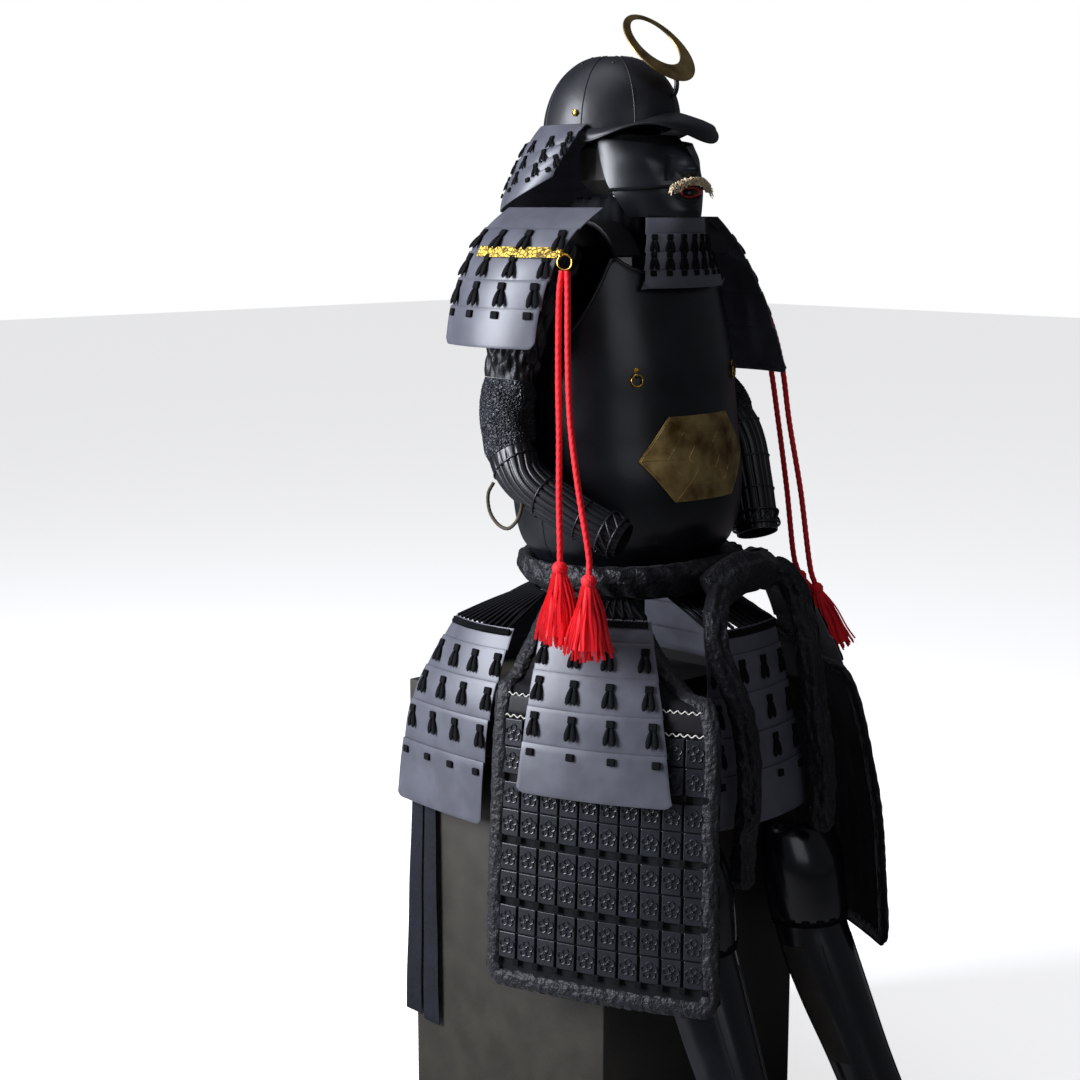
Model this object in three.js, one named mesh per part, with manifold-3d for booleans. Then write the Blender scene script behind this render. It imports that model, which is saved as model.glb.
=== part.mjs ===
// A samurai armour on its storage box, in millimetres, +Z up. The floor is z = 0, the front faces -Y and
// the wearer's right is -X. The origin lies on the floor under the middle of the body.
import * as THREE from 'three';
import { mergeVertices } from 'three/addons/utils/BufferGeometryUtils.js';
import Module from 'manifold-3d';

const wasm = await Module();
wasm.setup();

// Driving dimensions
const GAP = 0.3;                 // running gap between two pieces that touch
const PLATE = 2.5;               // lacquered plate
const CLOTH = 2.5;               // doubled cloth
const BOX = { width: 450, depth: 430, height: 690, centreY: 48, wall: 10, lid: 90, lidWall: 4 };
const WAIST = 850;               // lower rim of the cuirass
const SHOULDER = 1400;           // top of the stand's shoulder bar
const HELMET = { rim: 1536, top: 1648, halfWidth: 97, halfLength: 105, centreY: 43, turn: 16, brow: 26 };

const group = new THREE.Group();
const helmet = new THREE.Group();   // sits turned a little to the wearer's left

function add(name, geometry, colour, roughness, metalness, parent = group) {
  const material = new THREE.MeshStandardMaterial({ color: colour, roughness, metalness });
  const mesh = new THREE.Mesh(geometry, material);
  mesh.name = name;
  parent.add(mesh);
}

const LACQUER = [0x15171c, 0.35, 0.0];
const LAME = [0x3c3e45, 0.4, 0.0];
const BLACK_CLOTH = [0x14151a, 0.9, 0.0];
const BRASS = [0xc8a24a, 0.3, 1.0];
const GOLD = [0x8f7442, 0.45, 1.0];
const RED = [0xd8142a, 0.8, 0.0];
const WOOD = [0x8a6a44, 0.7, 0.0];

const mix = (a, b, t) => a + (b - a) * t;
const radians = (degrees) => degrees * Math.PI / 180;
const at = (x, y, z) => new THREE.Vector3(x, y, z);

// Reads a column of a table of rows at fraction t, with a smooth curve through the rows.
function column(rows, name, t) {
  const place = Math.min(Math.max(t, 0), 1) * (rows.length - 1);
  const i = Math.min(Math.floor(place), rows.length - 2);
  const f = place - i;
  const value = (k) => rows[Math.min(Math.max(k, 0), rows.length - 1)][name];
  const a = value(i - 1);
  const b = value(i);
  const c = value(i + 1);
  const d = value(i + 2);
  return b + 0.5 * f * (c - a + f * (2 * a - 5 * b + 4 * c - d + f * (3 * (b - c) + d - a)));
}

// Reads a column of a table whose rows rise in z, at the height z.
function atHeight(rows, name, z) {
  const last = rows.length - 2;
  const i = Math.max(0, Math.min(last, rows.findIndex((row) => row.z > z) - 1));
  const found = z >= rows[rows.length - 1].z ? last : i;
  const slope = (k) => {
    const low = rows[Math.max(k - 1, 0)];
    const high = rows[Math.min(k + 1, rows.length - 1)];
    return (high[name] - low[name]) / (high.z - low.z);
  };
  const from = rows[found];
  const to = rows[found + 1];
  const step = to.z - from.z;
  const f = (z - from.z) / step;
  return (1 + 2 * f) * (1 - f) ** 2 * from[name] + f * (1 - f) ** 2 * step * slope(found)
    + f * f * (3 - 2 * f) * to[name] - f * f * (1 - f) * step * slope(found + 1);
}

function signedVolume(position, index) {
  const a = at(0, 0, 0);
  const b = at(0, 0, 0);
  const c = at(0, 0, 0);
  let sum = 0;
  for (let i = 0; i < index.length; i += 3) {
    a.fromBufferAttribute(position, index[i]);
    b.fromBufferAttribute(position, index[i + 1]);
    c.fromBufferAttribute(position, index[i + 2]);
    sum += a.dot(b.cross(c)) / 6;
  }
  return sum;
}

// A closed mesh from points and triangles, turned so that its faces point out.
function closedMesh(points, index) {
  const geometry = new THREE.BufferGeometry();
  const values = points.flatMap((p) => [p.x, p.y, p.z]);
  geometry.setAttribute('position', new THREE.Float32BufferAttribute(values, 3));
  if (signedVolume(geometry.attributes.position, index) < 0) {
    for (let i = 0; i < index.length; i += 3) [index[i + 1], index[i + 2]] = [index[i + 2], index[i + 1]];
  }
  geometry.setIndex(index);
  geometry.computeVertexNormals();
  return geometry;
}

// A wall between an outer and an inner surface. Both are functions of u across and v down, each 0 to 1.
// rows lists the v values, and closed joins the last column to the first.
function shell(outer, inner, columns, rows, closed = false) {
  const across = closed ? columns : columns + 1;
  const points = [];
  const index = [];
  for (const surface of [outer, inner]) {
    for (const v of rows) {
      for (let i = 0; i < across; i++) points.push(surface(i / columns, v));
    }
  }
  const id = (side, row, i) => side * rows.length * across + row * across + (closed ? i % columns : i);
  const quad = (a, b, c, d) => index.push(a, b, c, a, c, d);
  for (let row = 0; row < rows.length - 1; row++) {
    for (let i = 0; i < columns; i++) {
      quad(id(0, row, i), id(0, row, i + 1), id(0, row + 1, i + 1), id(0, row + 1, i));
      quad(id(1, row, i), id(1, row + 1, i), id(1, row + 1, i + 1), id(1, row, i + 1));
    }
  }
  const last = rows.length - 1;
  for (let i = 0; i < columns; i++) {
    quad(id(0, 0, i), id(1, 0, i), id(1, 0, i + 1), id(0, 0, i + 1));
    quad(id(0, last, i), id(0, last, i + 1), id(1, last, i + 1), id(1, last, i));
  }
  if (!closed) {
    for (let row = 0; row < last; row++) {
      quad(id(0, row, 0), id(0, row + 1, 0), id(1, row + 1, 0), id(1, row, 0));
      quad(id(0, row, columns), id(1, row, columns), id(1, row + 1, columns), id(0, row + 1, columns));
    }
  }
  return closedMesh(points, index);
}

const evenRows = (count) => Array.from({ length: count + 1 }, (_, i) => i / count);

// The surface moved in by a thickness, along its own slope; toward is a point inside at each v.
function inset(surface, thickness, toward) {
  const step = 0.004;
  return (u, v) => {
    const p = surface(u, v);
    const du = surface(Math.min(u + step, 1), v).sub(surface(Math.max(u - step, 0), v));
    const dv = surface(u, Math.min(v + step, 1)).sub(surface(u, Math.max(v - step, 0)));
    const normal = du.cross(dv).normalize();
    if (normal.dot(toward(u, v).sub(p)) < 0) normal.negate();
    return p.addScaledVector(normal, thickness);
  };
}

// A round or oval rod along a smooth curve, closed at both ends.
function rod(points, radius, steps, sides = 8, flat = 1) {
  const curve = new THREE.CatmullRomCurve3(points, false, 'centripetal');
  const section = new THREE.Shape();
  for (let i = 0; i < sides; i++) {
    const angle = 2 * Math.PI * i / sides;
    const x = radius * Math.cos(angle);
    const y = radius * flat * Math.sin(angle);
    if (i === 0) section.moveTo(x, y);
    else section.lineTo(x, y);
  }
  section.closePath();
  return new THREE.ExtrudeGeometry(section, { steps, extrudePath: curve, bevelEnabled: false });
}

function block(width, depth, height, x, y, z) {
  return new THREE.BoxGeometry(width, depth, height).translate(x, y, z);
}

function ring(centre, axis, radius, wire, around, sides) {
  const geometry = new THREE.TorusGeometry(radius, wire, sides, around);
  const turn = new THREE.Quaternion().setFromUnitVectors(at(0, 0, 1), axis.clone().normalize());
  geometry.applyQuaternion(turn);
  return geometry.translate(centre.x, centre.y, centre.z);
}

// Joins and cuts with exact solids
function solid(geometry) {
  const bare = geometry.clone();
  bare.deleteAttribute('normal');
  bare.deleteAttribute('uv');
  const merged = mergeVertices(bare, 1e-4);
  const position = merged.attributes.position;
  const index = Array.from(merged.index.array);
  if (signedVolume(position, index) < 0) {
    for (let i = 0; i < index.length; i += 3) [index[i + 1], index[i + 2]] = [index[i + 2], index[i + 1]];
  }
  const mesh = new wasm.Mesh({
    numProp: 3, vertProperties: new Float32Array(position.array), triVerts: new Uint32Array(index),
  });
  return new wasm.Manifold(mesh);
}

function geometryOf(manifold) {
  const mesh = manifold.getMesh();
  const geometry = new THREE.BufferGeometry();
  const points = new Float32Array(mesh.numVert * 3);
  for (let i = 0; i < mesh.numVert; i++) {
    for (let k = 0; k < 3; k++) points[3 * i + k] = mesh.vertProperties[i * mesh.numProp + k];
  }
  geometry.setAttribute('position', new THREE.BufferAttribute(points, 3));
  geometry.setIndex(new THREE.BufferAttribute(new Uint32Array(mesh.triVerts), 1));
  geometry.computeVertexNormals();
  return geometry;
}

const join = (...parts) => geometryOf(parts.map(solid).reduce((a, b) => a.add(b)));

// Storage box: an open-topped body and a lid that caps it
{
  const tall = BOX.height - BOX.lidWall - GAP;
  const width = BOX.width - 2 * (BOX.lidWall + GAP);
  const depth = BOX.depth - 2 * (BOX.lidWall + GAP);
  const outer = block(width, depth, tall, 0, BOX.centreY, tall / 2);
  const hollow = block(width - 2 * BOX.wall, depth - 2 * BOX.wall, tall, 0, BOX.centreY,
    tall / 2 + BOX.wall);
  add('box_body', geometryOf(solid(outer).subtract(solid(hollow))), 0x2e2c28, 0.6, 0);
  const lid = block(BOX.width, BOX.depth, BOX.lid, 0, BOX.centreY, BOX.height - BOX.lid / 2);
  const under = block(BOX.width - 2 * BOX.lidWall, BOX.depth - 2 * BOX.lidWall, BOX.lid,
    0, BOX.centreY, BOX.height - BOX.lid / 2 - BOX.lidWall);
  add('box_lid', geometryOf(solid(lid).subtract(solid(under))), 0x2e2c28, 0.6, 0);
}

// Stand inside the armour: foot, post, shoulder bar, neck and a plain round block for the helmet
const HEAD = { halfWidth: 76, halfDepth: 62, centreY: 30, low: 1520, high: 1600 };
const JAW = { halfWidth: 83.6, halfDepth: 78, centreY: -5, low: 1445, high: 1530 };
const POST = { width: 36, neck: 90 };
const FOOT = { width: 220, height: 20, y: 8 };
const BAR = { width: 250, depth: 40, height: 30 };
{
  const foot = block(FOOT.width, FOOT.width, FOOT.height, 0, FOOT.y, BOX.height + GAP + FOOT.height / 2);
  const low = BOX.height + 12;
  const post = block(POST.width, POST.width, SHOULDER - low, 0, 0, mix(low, SHOULDER, 0.5));
  const bar = block(BAR.width, BAR.depth, BAR.height, 0, 0, SHOULDER - BAR.height / 2);
  const neck = block(POST.width, POST.width, POST.neck, 0, 0, SHOULDER + POST.neck / 2 - 5);
  const drum = (form) => new THREE.LatheGeometry([
    new THREE.Vector2(0, form.low),
    new THREE.Vector2(0.75, form.low),
    new THREE.Vector2(1, form.low + 20),
    new THREE.Vector2(1, form.high - 20),
    new THREE.Vector2(0.8, form.high),
    new THREE.Vector2(0, form.high),
  ], 24).rotateX(Math.PI / 2).scale(form.halfWidth, form.halfDepth, 1).translate(0, form.centreY, 0);
  const peg = new THREE.CylinderGeometry(12, 12, 80, 12).rotateX(Math.PI / 2)
    .translate(0, HELMET.centreY, HELMET.top - 0.8 - PLATE - 40);
  add('stand', join(foot, post, bar, neck, drum(HEAD), drum(JAW), peg), ...WOOD);
}

// Cuirass: oval sections from the lower rim to the chest, then narrowing to the armholes and the neck
const CUIRASS = [
  { z: WAIST, side: 148, front: 120, back: 126 },
  { z: 897, side: 153, front: 124, back: 131 },
  { z: 928, side: 177, front: 142, back: 151 },
  { z: 968, side: 188, front: 155, back: 162 },
  { z: 1027, side: 193, front: 156, back: 166 },
  { z: 1086, side: 191, front: 146, back: 164 },
  { z: 1144, side: 186, front: 139, back: 160 },
  { z: 1203, side: 180, front: 134, back: 155 },
  { z: 1262, side: 172, front: 121, back: 146 },
  { z: 1321, side: 162, front: 106, back: 130 },
  { z: 1380, side: 152, front: 92, back: 108 },
];
function cuirassAt(angle, z, out = 0) {
  const side = atHeight(CUIRASS, 'side', z) + out;
  const depth = atHeight(CUIRASS, Math.cos(angle) > 0 ? 'front' : 'back', z) + out;
  return at(side * Math.sin(angle), -depth * Math.cos(angle), z);
}
const DOWN = [0, 0.14, 0.28, 0.42, 0.56, 0.7, 0.8, 0.87, 0.93, 1];   // closer together at the waist
const ARMPIT = 1225;
const NECK = { front: 1328, back: 1372, strapAngle: 46, strapFront: 1356, strapBack: 1378 };
function rimHeight(angle, neck, strap) {
  const a = Math.abs(angle) / radians(90);
  const s = NECK.strapAngle / 90;
  if (a < s) return mix(neck, strap, (a / s) ** 3);
  return mix(strap, ARMPIT, Math.sin((a - s) / (1 - s) * Math.PI / 2));
}
// The staples of the chest rings stand out of the front plate, level with each other
const CHEST_RING = {
  angle: 35.5, z: 1188, radius: 8.5, wire: 1.5, staple: 4.6, stapleWire: 1.1, stand: 2.6,
};
function chestRingSeat(sign) {
  const angle = sign * radians(CHEST_RING.angle);
  const seat = cuirassAt(angle, CHEST_RING.z);
  const ahead = cuirassAt(angle + 0.01, CHEST_RING.z).sub(seat).setZ(0).normalize();
  const out = at(ahead.y, -ahead.x, 0);
  return { eye: seat.clone().addScaledVector(out, CHEST_RING.stand), ahead, out };
}
{
  const side = radians(89.85);
  const half = (neck, strap, turn) => (u, v) => {
    const angle = mix(-side, side, u);
    return cuirassAt(angle + turn, mix(rimHeight(angle, neck, strap), WAIST, v));
  };
  const core = (u, v) => at(0, 0, mix(1310, WAIST, v));
  const front = half(NECK.front, NECK.strapFront, 0);
  const back = half(NECK.back, NECK.strapBack, Math.PI);
  const plate = shell(front, inset(front, PLATE, core), 14, DOWN);
  const staples = [-1, 1].map((sign) => {
    const { eye, ahead } = chestRingSeat(sign);
    return ring(eye, ahead, CHEST_RING.staple, CHEST_RING.stapleWire, 9, 4);
  });
  add('cuirass_front', geometryOf(solid(plate).add(solid(staples[0])).add(solid(staples[1]))), ...LACQUER);
  add('cuirass_back', shell(back, inset(back, PLATE, core), 14, DOWN), ...LACQUER);
}

// Shoulder straps: from the back plate over the stand's bar to the front plate, each with the tie that
// the shoulder guard hangs from
const STRAP = { x: 100, width: 52, thick: 7 };
const TIE = { width: 34, thick: 3, right: { x: 201.4, z: 1417 }, left: { x: 132.4, z: 1405 } };
for (const [side, sign] of [['right', -1], ['left', 1]]) {
  const path = [
    { y: -88, z: 1357.5 }, { y: -74, z: 1382 }, { y: -50, z: SHOULDER + 1 },
    { y: -24, z: SHOULDER + STRAP.thick + 1 },
    { y: 0, z: SHOULDER + STRAP.thick + GAP }, { y: 24, z: SHOULDER + STRAP.thick + 1 },
    { y: 50, z: SHOULDER + 5 },
    { y: 76, z: 1398 }, { y: 98, z: 1380 },
  ];
  const across = (u) => sign * STRAP.x + STRAP.width * (u - 0.5);
  const top = (u, v) => at(across(u), column(path, 'y', v), column(path, 'z', v));
  const under = (u) => at(across(u), 0, SHOULDER - 80);
  const strap = shell(top, inset(top, STRAP.thick, under), 2, evenRows(10));
  const reach = TIE[side];
  const root = STRAP.x + STRAP.width / 2 - 6;
  const tie = (lift) => (u, v) => at(sign * mix(root, reach.x, u), mix(-TIE.width, TIE.width, v) / 2,
    mix(SHOULDER + 4, reach.z, u) + lift);
  add(`shoulder_strap_${side}`, join(strap, shell(tie(TIE.thick), tie(0), 4, evenRows(1))), ...LACQUER);
}

// A panel that hangs off the body. turn is the direction it faces (0 the front, negative the wearer's
// right), and its rows give distance, half width, bulge and height from top to bottom.
function panelPoint(turn, row, u, out = 0) {
  const s = 2 * u - 1;
  const reach = row.distance + out - row.bulge * s * s;
  const x = reach * Math.sin(turn) + s * row.half * Math.cos(turn) + (row.x ?? 0);
  const y = -reach * Math.cos(turn) + s * row.half * Math.sin(turn) + (row.y ?? 0);
  return at(x, y, row.z);
}

// Laced lames: each lower lame overlaps the one above it on the outside
const STEP = 3.2;
const LAME_THICK = 3.5;
function lamePanel(turn, shape, edges, columns) {
  const rows = [];
  const names = Object.keys(shape[0]);
  const rowAt = (v, out) => {
    const row = { out };
    for (const name of names) row[name] = column(shape, name, v);
    return row;
  };
  for (let i = 0; i < edges.length - 1; i++) {
    rows.push(rowAt(edges[i] + (i ? 0.006 : 0), STEP * (i ? 1 : 0)));
    rows.push(rowAt(edges[i + 1], 0));
  }
  const last = rows.length - 1;
  const surface = (inward) => (u, v) => {
    const row = rows[Math.round(v * last)];
    return panelPoint(turn, row, u, row.out - inward);
  };
  return shell(surface(0), surface(LAME_THICK), columns, evenRows(last));
}

// Gold plate: a long hexagon that lies on the front of the cuirass
const GOLD_PLATE = { middle: 1063, halfWidth: 112, halfHeight: 62, shoulder: 62, thick: 1.2, lift: 2 };
{
  const outline = (u, v, out) => {
    const x = (2 * u - 1) * GOLD_PLATE.halfWidth;
    const inward = (GOLD_PLATE.halfWidth - Math.abs(x)) / (GOLD_PLATE.halfWidth - GOLD_PLATE.shoulder);
    const slope = Math.min(1, inward + 0.02);
    const z = GOLD_PLATE.middle - (2 * v - 1) * GOLD_PLATE.halfHeight * slope;
    return cuirassAt(Math.asin(x / atHeight(CUIRASS, 'side', z)), z, out);
  };
  const outer = (u, v) => outline(u, v, GOLD_PLATE.lift + GOLD_PLATE.thick);
  add('gold_plate', shell(outer, (u, v) => outline(u, v, GOLD_PLATE.lift), 9, evenRows(4)), ...GOLD);
}

// Chest rings: each swings on its staple
for (const [side, sign] of [['right', -1], ['left', 1]]) {
  const { eye, out } = chestRingSeat(sign);
  const proud = CHEST_RING.staple - CHEST_RING.stapleWire - CHEST_RING.wire - GAP;
  const centre = eye.clone().addScaledVector(out, proud);
  centre.z -= CHEST_RING.radius;
  add(`chest_ring_${side}`, ring(centre, out, CHEST_RING.radius, CHEST_RING.wire, 14, 5), ...BRASS);
}

// Helmet bowl, brim and neck guard, drawn about the helmet's own middle and then turned
helmet.position.set(0, HELMET.centreY, 0);
helmet.rotation.z = radians(HELMET.turn);
group.add(helmet);
function bowlAt(angle, v, out = 0) {
  const lift = v * Math.PI / 2;
  const round = Math.cos(lift) ** 0.82;
  const rise = Math.sin(lift) ** 1.05;
  const rim = HELMET.rim + HELMET.brow * Math.max(0, Math.cos(angle)) ** 3;
  const side = (HELMET.halfWidth + out) * round;
  const depth = (HELMET.halfLength + out) * round;
  return at(side * Math.sin(angle), -depth * Math.cos(angle), mix(rim, HELMET.top + out, rise));
}
const BOWL_SHUT = 0.965;         // where the crown cap closes the bowl
{
  const bowl = (u, v) => bowlAt(2 * Math.PI * u, v * BOWL_SHUT);
  const bowlInside = (u, v) => bowlAt(2 * Math.PI * u, v * BOWL_SHUT, -PLATE);
  const crown = shell(bowl, bowlInside, 20, evenRows(6), true);
  const cap = new THREE.CylinderGeometry(13, 16, PLATE, 12).rotateX(Math.PI / 2)
    .translate(0, 0, HELMET.top - 1);
  add('helmet_bowl', join(crown, cap), ...LACQUER, helmet);
}
const BRIM_SEAT = 1.8;           // from the bowl's rim to the outer face of the brim's root
const BRIM = [
  { out: 0, drop: 0, arch: 0 }, { out: 20, drop: 6, arch: 4 }, { out: 39, drop: 14, arch: 11 },
  { out: 53, drop: 26, arch: 20 }, { out: 57, drop: 46, arch: 34 },
];
{
  const brim = (u, v) => {
    const angle = radians(mix(-84, 84, u));
    const root = bowlAt(angle, 0, 0);
    const front = Math.max(0, Math.cos(angle)) ** 0.9;
    const out = BRIM_SEAT + column(BRIM, 'out', v) * mix(0.08, 1, front);
    const arch = column(BRIM, 'arch', v) * Math.sin(2 * Math.min(Math.abs(angle), Math.PI / 2)) ** 2;
    return at(root.x + out * Math.sin(angle), root.y - out * Math.cos(angle),
      root.z + 3 - column(BRIM, 'drop', v) * mix(0.35, 1, front) + arch);
  };
  const inside = () => at(0, 0, HELMET.rim - 70);
  add('helmet_brim', shell(brim, inset(brim, PLATE, inside), 14, evenRows(4)), ...LACQUER, helmet);
}
// Neck guard: the front ends rise by lift and bend in beyond cheek. behind is the share of the reach
// left at the back.
const NECK_GUARD = { lift: 52, cheek: 0.35, behind: 0.7, bend: 0.4, power: 1.7, drop: 1.5 };
{
  const edges = [
    { reach: 0.9, z: 1546, sweep: 96 }, { reach: 25, z: 1520, sweep: 94 },
    { reach: 42, z: 1495, sweep: 92 },
    { reach: 56, z: 1470, sweep: 89 }, { reach: 69, z: 1445, sweep: 86 },
    { reach: 80, z: 1418, sweep: 83 },
  ];
  const lowest = edges[edges.length - 1].reach;
  const rows = [];
  for (let i = 0; i < edges.length - 1; i++) {
    rows.push({ ...edges[i], out: i ? STEP : 0, z: edges[i].z - (i ? NECK_GUARD.drop : 0) });
    rows.push({ ...edges[i + 1], out: 0 });
  }
  const place = (extra) => (u, v) => {
    const row = rows[Math.round(v * (rows.length - 1))];
    const sweep = radians(mix(-row.sweep, row.sweep, u));
    const edge = Math.max(0, Math.abs(2 * u - 1) - NECK_GUARD.cheek) / (1 - NECK_GUARD.cheek);
    const reach = row.reach * mix(1, NECK_GUARD.behind, Math.cos(sweep) ** 2);
    const out = reach * (1 - NECK_GUARD.bend * edge ** 2) + row.out + extra + PLATE;
    const z = row.z + NECK_GUARD.lift * edge ** NECK_GUARD.power * row.reach / lowest;
    return at(-(HELMET.halfWidth + out) * Math.sin(sweep), (HELMET.halfLength + out) * Math.cos(sweep), z);
  };
  add('neck_guard', shell(place(0), place(-PLATE), 12, evenRows(rows.length - 1)), ...LAME, helmet);
}

// Crest: a flat ring with its hole set high, leaning back on a short hook
const CREST = { outer: 66, hole: 45.5, holeUp: 11.5, thick: 2, lean: 41, turn: -13, foot: 116, z: 1609 };
{
  const shape = new THREE.Shape().absarc(0, 0, CREST.outer, 0, 2 * Math.PI);
  shape.holes.push(new THREE.Path().absarc(0, CREST.holeUp, CREST.hole, 0, 2 * Math.PI, true));
  const settings = { depth: CREST.thick, bevelEnabled: false, curveSegments: 13 };
  const plate = new THREE.ExtrudeGeometry(shape, settings);
  plate.translate(0, CREST.outer, -CREST.thick / 2).rotateX(Math.PI / 2 - radians(CREST.lean))
    .rotateZ(radians(CREST.turn)).translate(0, -CREST.foot, CREST.z);
  add('crest_ring', plate, ...GOLD, helmet);
  const hook = [at(0, -102.5, 1588), at(0, -106.6, 1596), at(0, -108, 1607), at(0, -106.6, 1612.8)];
  add('crest_hook', rod(hook, 4, 4, 6), ...LACQUER, helmet);
}

// Mask: a plain half face from the cheekbones to the chin
const MASK = [
  { z: 1526, side: 87, front: 92, nose: 10 }, { z: 1508, side: 87, front: 100, nose: 18 },
  { z: 1490, side: 87, front: 108, nose: 22 }, { z: 1472, side: 87, front: 116, nose: 5 },
  { z: 1454, side: 87, front: 119, nose: 0 }, { z: 1436, side: 84, front: 120, nose: 0 },
  { z: 1412, side: 74, front: 122, nose: 0 },
];
const MASK_HALF = 84;            // half the sweep at the cheekbones, in degrees
const MASK_CHIN = 62;            // and at the chin
const CHEEK_RISE = 14;           // how far the cheekbones stand above the nose
const NOSE_WIDTH = 0.2;          // half width of the nose, in radians
const MOUTH = { halfWidth: 25, depth: 30, halfHeight: 8, y: -118, z: 1448 };
const MOUSTACHE = { half: 31, v: 0.52, proud: 11.6, z: 1463, droop: 9, radius: 6 };
{
  const face = (u, v) => {
    const half = mix(MASK_HALF, MASK_CHIN, v * v);
    const angle = radians(mix(-half, half, u));
    const z = column(MASK, 'z', v) + (1 - v) * CHEEK_RISE * (Math.abs(2 * u - 1) - 1);
    const bump = column(MASK, 'nose', v) * Math.exp(-((angle / NOSE_WIDTH) ** 2));
    const depth = column(MASK, 'front', v) + bump;
    return at(column(MASK, 'side', v) * Math.sin(angle), -depth * Math.cos(angle), z);
  };
  const core = () => at(0, 10, 1470);
  const wall = solid(shell(face, inset(face, PLATE, core), 14, evenRows(7)));
  const mouth = new THREE.SphereGeometry(1, 10, 6).scale(MOUTH.halfWidth, MOUTH.depth, MOUTH.halfHeight)
    .translate(0, MOUTH.y, MOUTH.z);
  add('mask', geometryOf(wall.subtract(solid(mouth))), ...LACQUER);
  const hair = [];
  for (let i = 0; i <= 6; i++) {
    const angle = radians(mix(-MOUSTACHE.half, MOUSTACHE.half, i / 6));
    const away = column(MASK, 'front', MOUSTACHE.v) + MOUSTACHE.proud;
    const side = column(MASK, 'side', 0.5) * 1.08;
    const z = MOUSTACHE.z - MOUSTACHE.droop * (Math.abs(i - 3) / 3) ** 2;
    hair.push(at(side * Math.sin(angle), -away * Math.cos(angle), z));
  }
  add('moustache', rod(hair, MOUSTACHE.radius, 8, 7), 0xe6d3b0, 0.95, 0);
}
{
  const shape = [
    { distance: 121, half: 64, bulge: 34, z: 1411.3 }, { distance: 122, half: 68, bulge: 32, z: 1378 },
    { distance: 125, half: 78, bulge: 27, z: 1345 }, { distance: 131, half: 88, bulge: 24, z: 1310 },
  ];
  add('throat_guard', lamePanel(0, shape, [0, 0.25, 0.5, 0.75, 1], 6), ...LAME);
}

// Shoulder guards, each with a brocade strap, its knob and ring, and a strap to the shoulder
const GUARD = {
  right: { sign: -1, turn: -90, from: 0.2, to: 1, rows: [
    { distance: 200, half: 96, bulge: 18, z: 1426, y: -20 },
    { distance: 246, half: 95, bulge: 20, z: 1394, y: -14 },
    { distance: 274, half: 93, bulge: 21, z: 1358, y: -8 },
    { distance: 294, half: 92, bulge: 22, z: 1318, y: -4 },
    { distance: 306, half: 92, bulge: 22, z: 1276, y: -1 },
    { distance: 314, half: 92, bulge: 22, z: 1232, y: 1 },
  ] },
  left: { sign: 1, turn: 90, from: 0.1, to: 0.7, rows: [
    { distance: 134, half: 58, bulge: 8, z: 1412, y: -4 },
    { distance: 166, half: 64, bulge: 12, z: 1382, y: -6 },
    { distance: 196, half: 72, bulge: 16, z: 1340, y: -8 },
    { distance: 226, half: 80, bulge: 18, z: 1285, y: -10 },
    { distance: 250, half: 86, bulge: 20, z: 1228, y: -11 },
    { distance: 272, half: 90, bulge: 20, z: 1168, y: -12 },
  ] },
};
const GUARD_EDGES = [0, 0.19, 0.38, 0.57, 0.76, 1];
function guardRow(guard, v, out = 0) {
  const row = {};
  for (const name of ['distance', 'half', 'bulge', 'z', 'y']) row[name] = column(guard.rows, name, v);
  row.distance += out;
  return row;
}
const BROCADE = { v: 0.37, lift: 4.2, thick: 2.2, tall: 12 };
const KNOB = { radius: 5.2, proud: 4.6, hoop: 10.5, wire: 1.2, ahead: 8, below: 12, out: 3.2 };
const EYE = {};
for (const [side, guard] of Object.entries(GUARD)) {
  const turn = radians(guard.turn);
  add(`shoulder_guard_${side}`, lamePanel(turn, guard.rows, GUARD_EDGES, 8), ...LAME);
  // u runs from the back to the front on the right guard and the other way on the left one
  const along = (f) => (guard.sign < 0 ? f : 1 - f);
  const above = guardRow(guard, BROCADE.v - 0.02);
  const below = guardRow(guard, BROCADE.v + 0.02);
  const slope = Math.atan2(below.distance - above.distance, above.z - below.z);
  const band = (lift) => (u, v) => {
    const row = guardRow(guard, BROCADE.v, BROCADE.lift + lift);
    const p = panelPoint(turn, row, along(mix(guard.from, guard.to, u)));
    const down = (v - 0.5) * BROCADE.tall;
    p.z -= down * Math.cos(slope) - lift * Math.sin(slope);
    p.x += guard.sign * down * Math.sin(slope);
    return p;
  };
  add(`brocade_strap_${side}`, shell(band(BROCADE.thick), band(0), 8, evenRows(1)), 0xd9b54a, 0.6, 0.4);
  const bandRow = guardRow(guard, BROCADE.v, BROCADE.lift + 1);
  const end = panelPoint(turn, bandRow, along(guard.to));
  const ahead = panelPoint(turn, bandRow, along(guard.to + 0.02)).sub(end);
  ahead.setZ(0).normalize();
  const knobAt = end.clone().addScaledVector(ahead, KNOB.radius + 2 * GAP);
  knobAt.x += guard.sign * KNOB.proud;
  const lean = guard.to < 1 ? slope : 0;
  const down = at(guard.sign * Math.sin(lean), 0, -Math.cos(lean));
  const eye = knobAt.clone().addScaledVector(ahead, KNOB.ahead).addScaledVector(down, KNOB.below);
  eye.x += guard.sign * KNOB.out;
  const knob = new THREE.SphereGeometry(KNOB.radius, 8, 6).translate(knobAt.x, knobAt.y, knobAt.z);
  const hoop = ring(eye, ahead.cross(down), KNOB.hoop, KNOB.wire, 14, 5);
  add(`guard_ring_${side}`, join(knob, hoop), ...BRASS);
  EYE[side] = eye;
}

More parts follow.
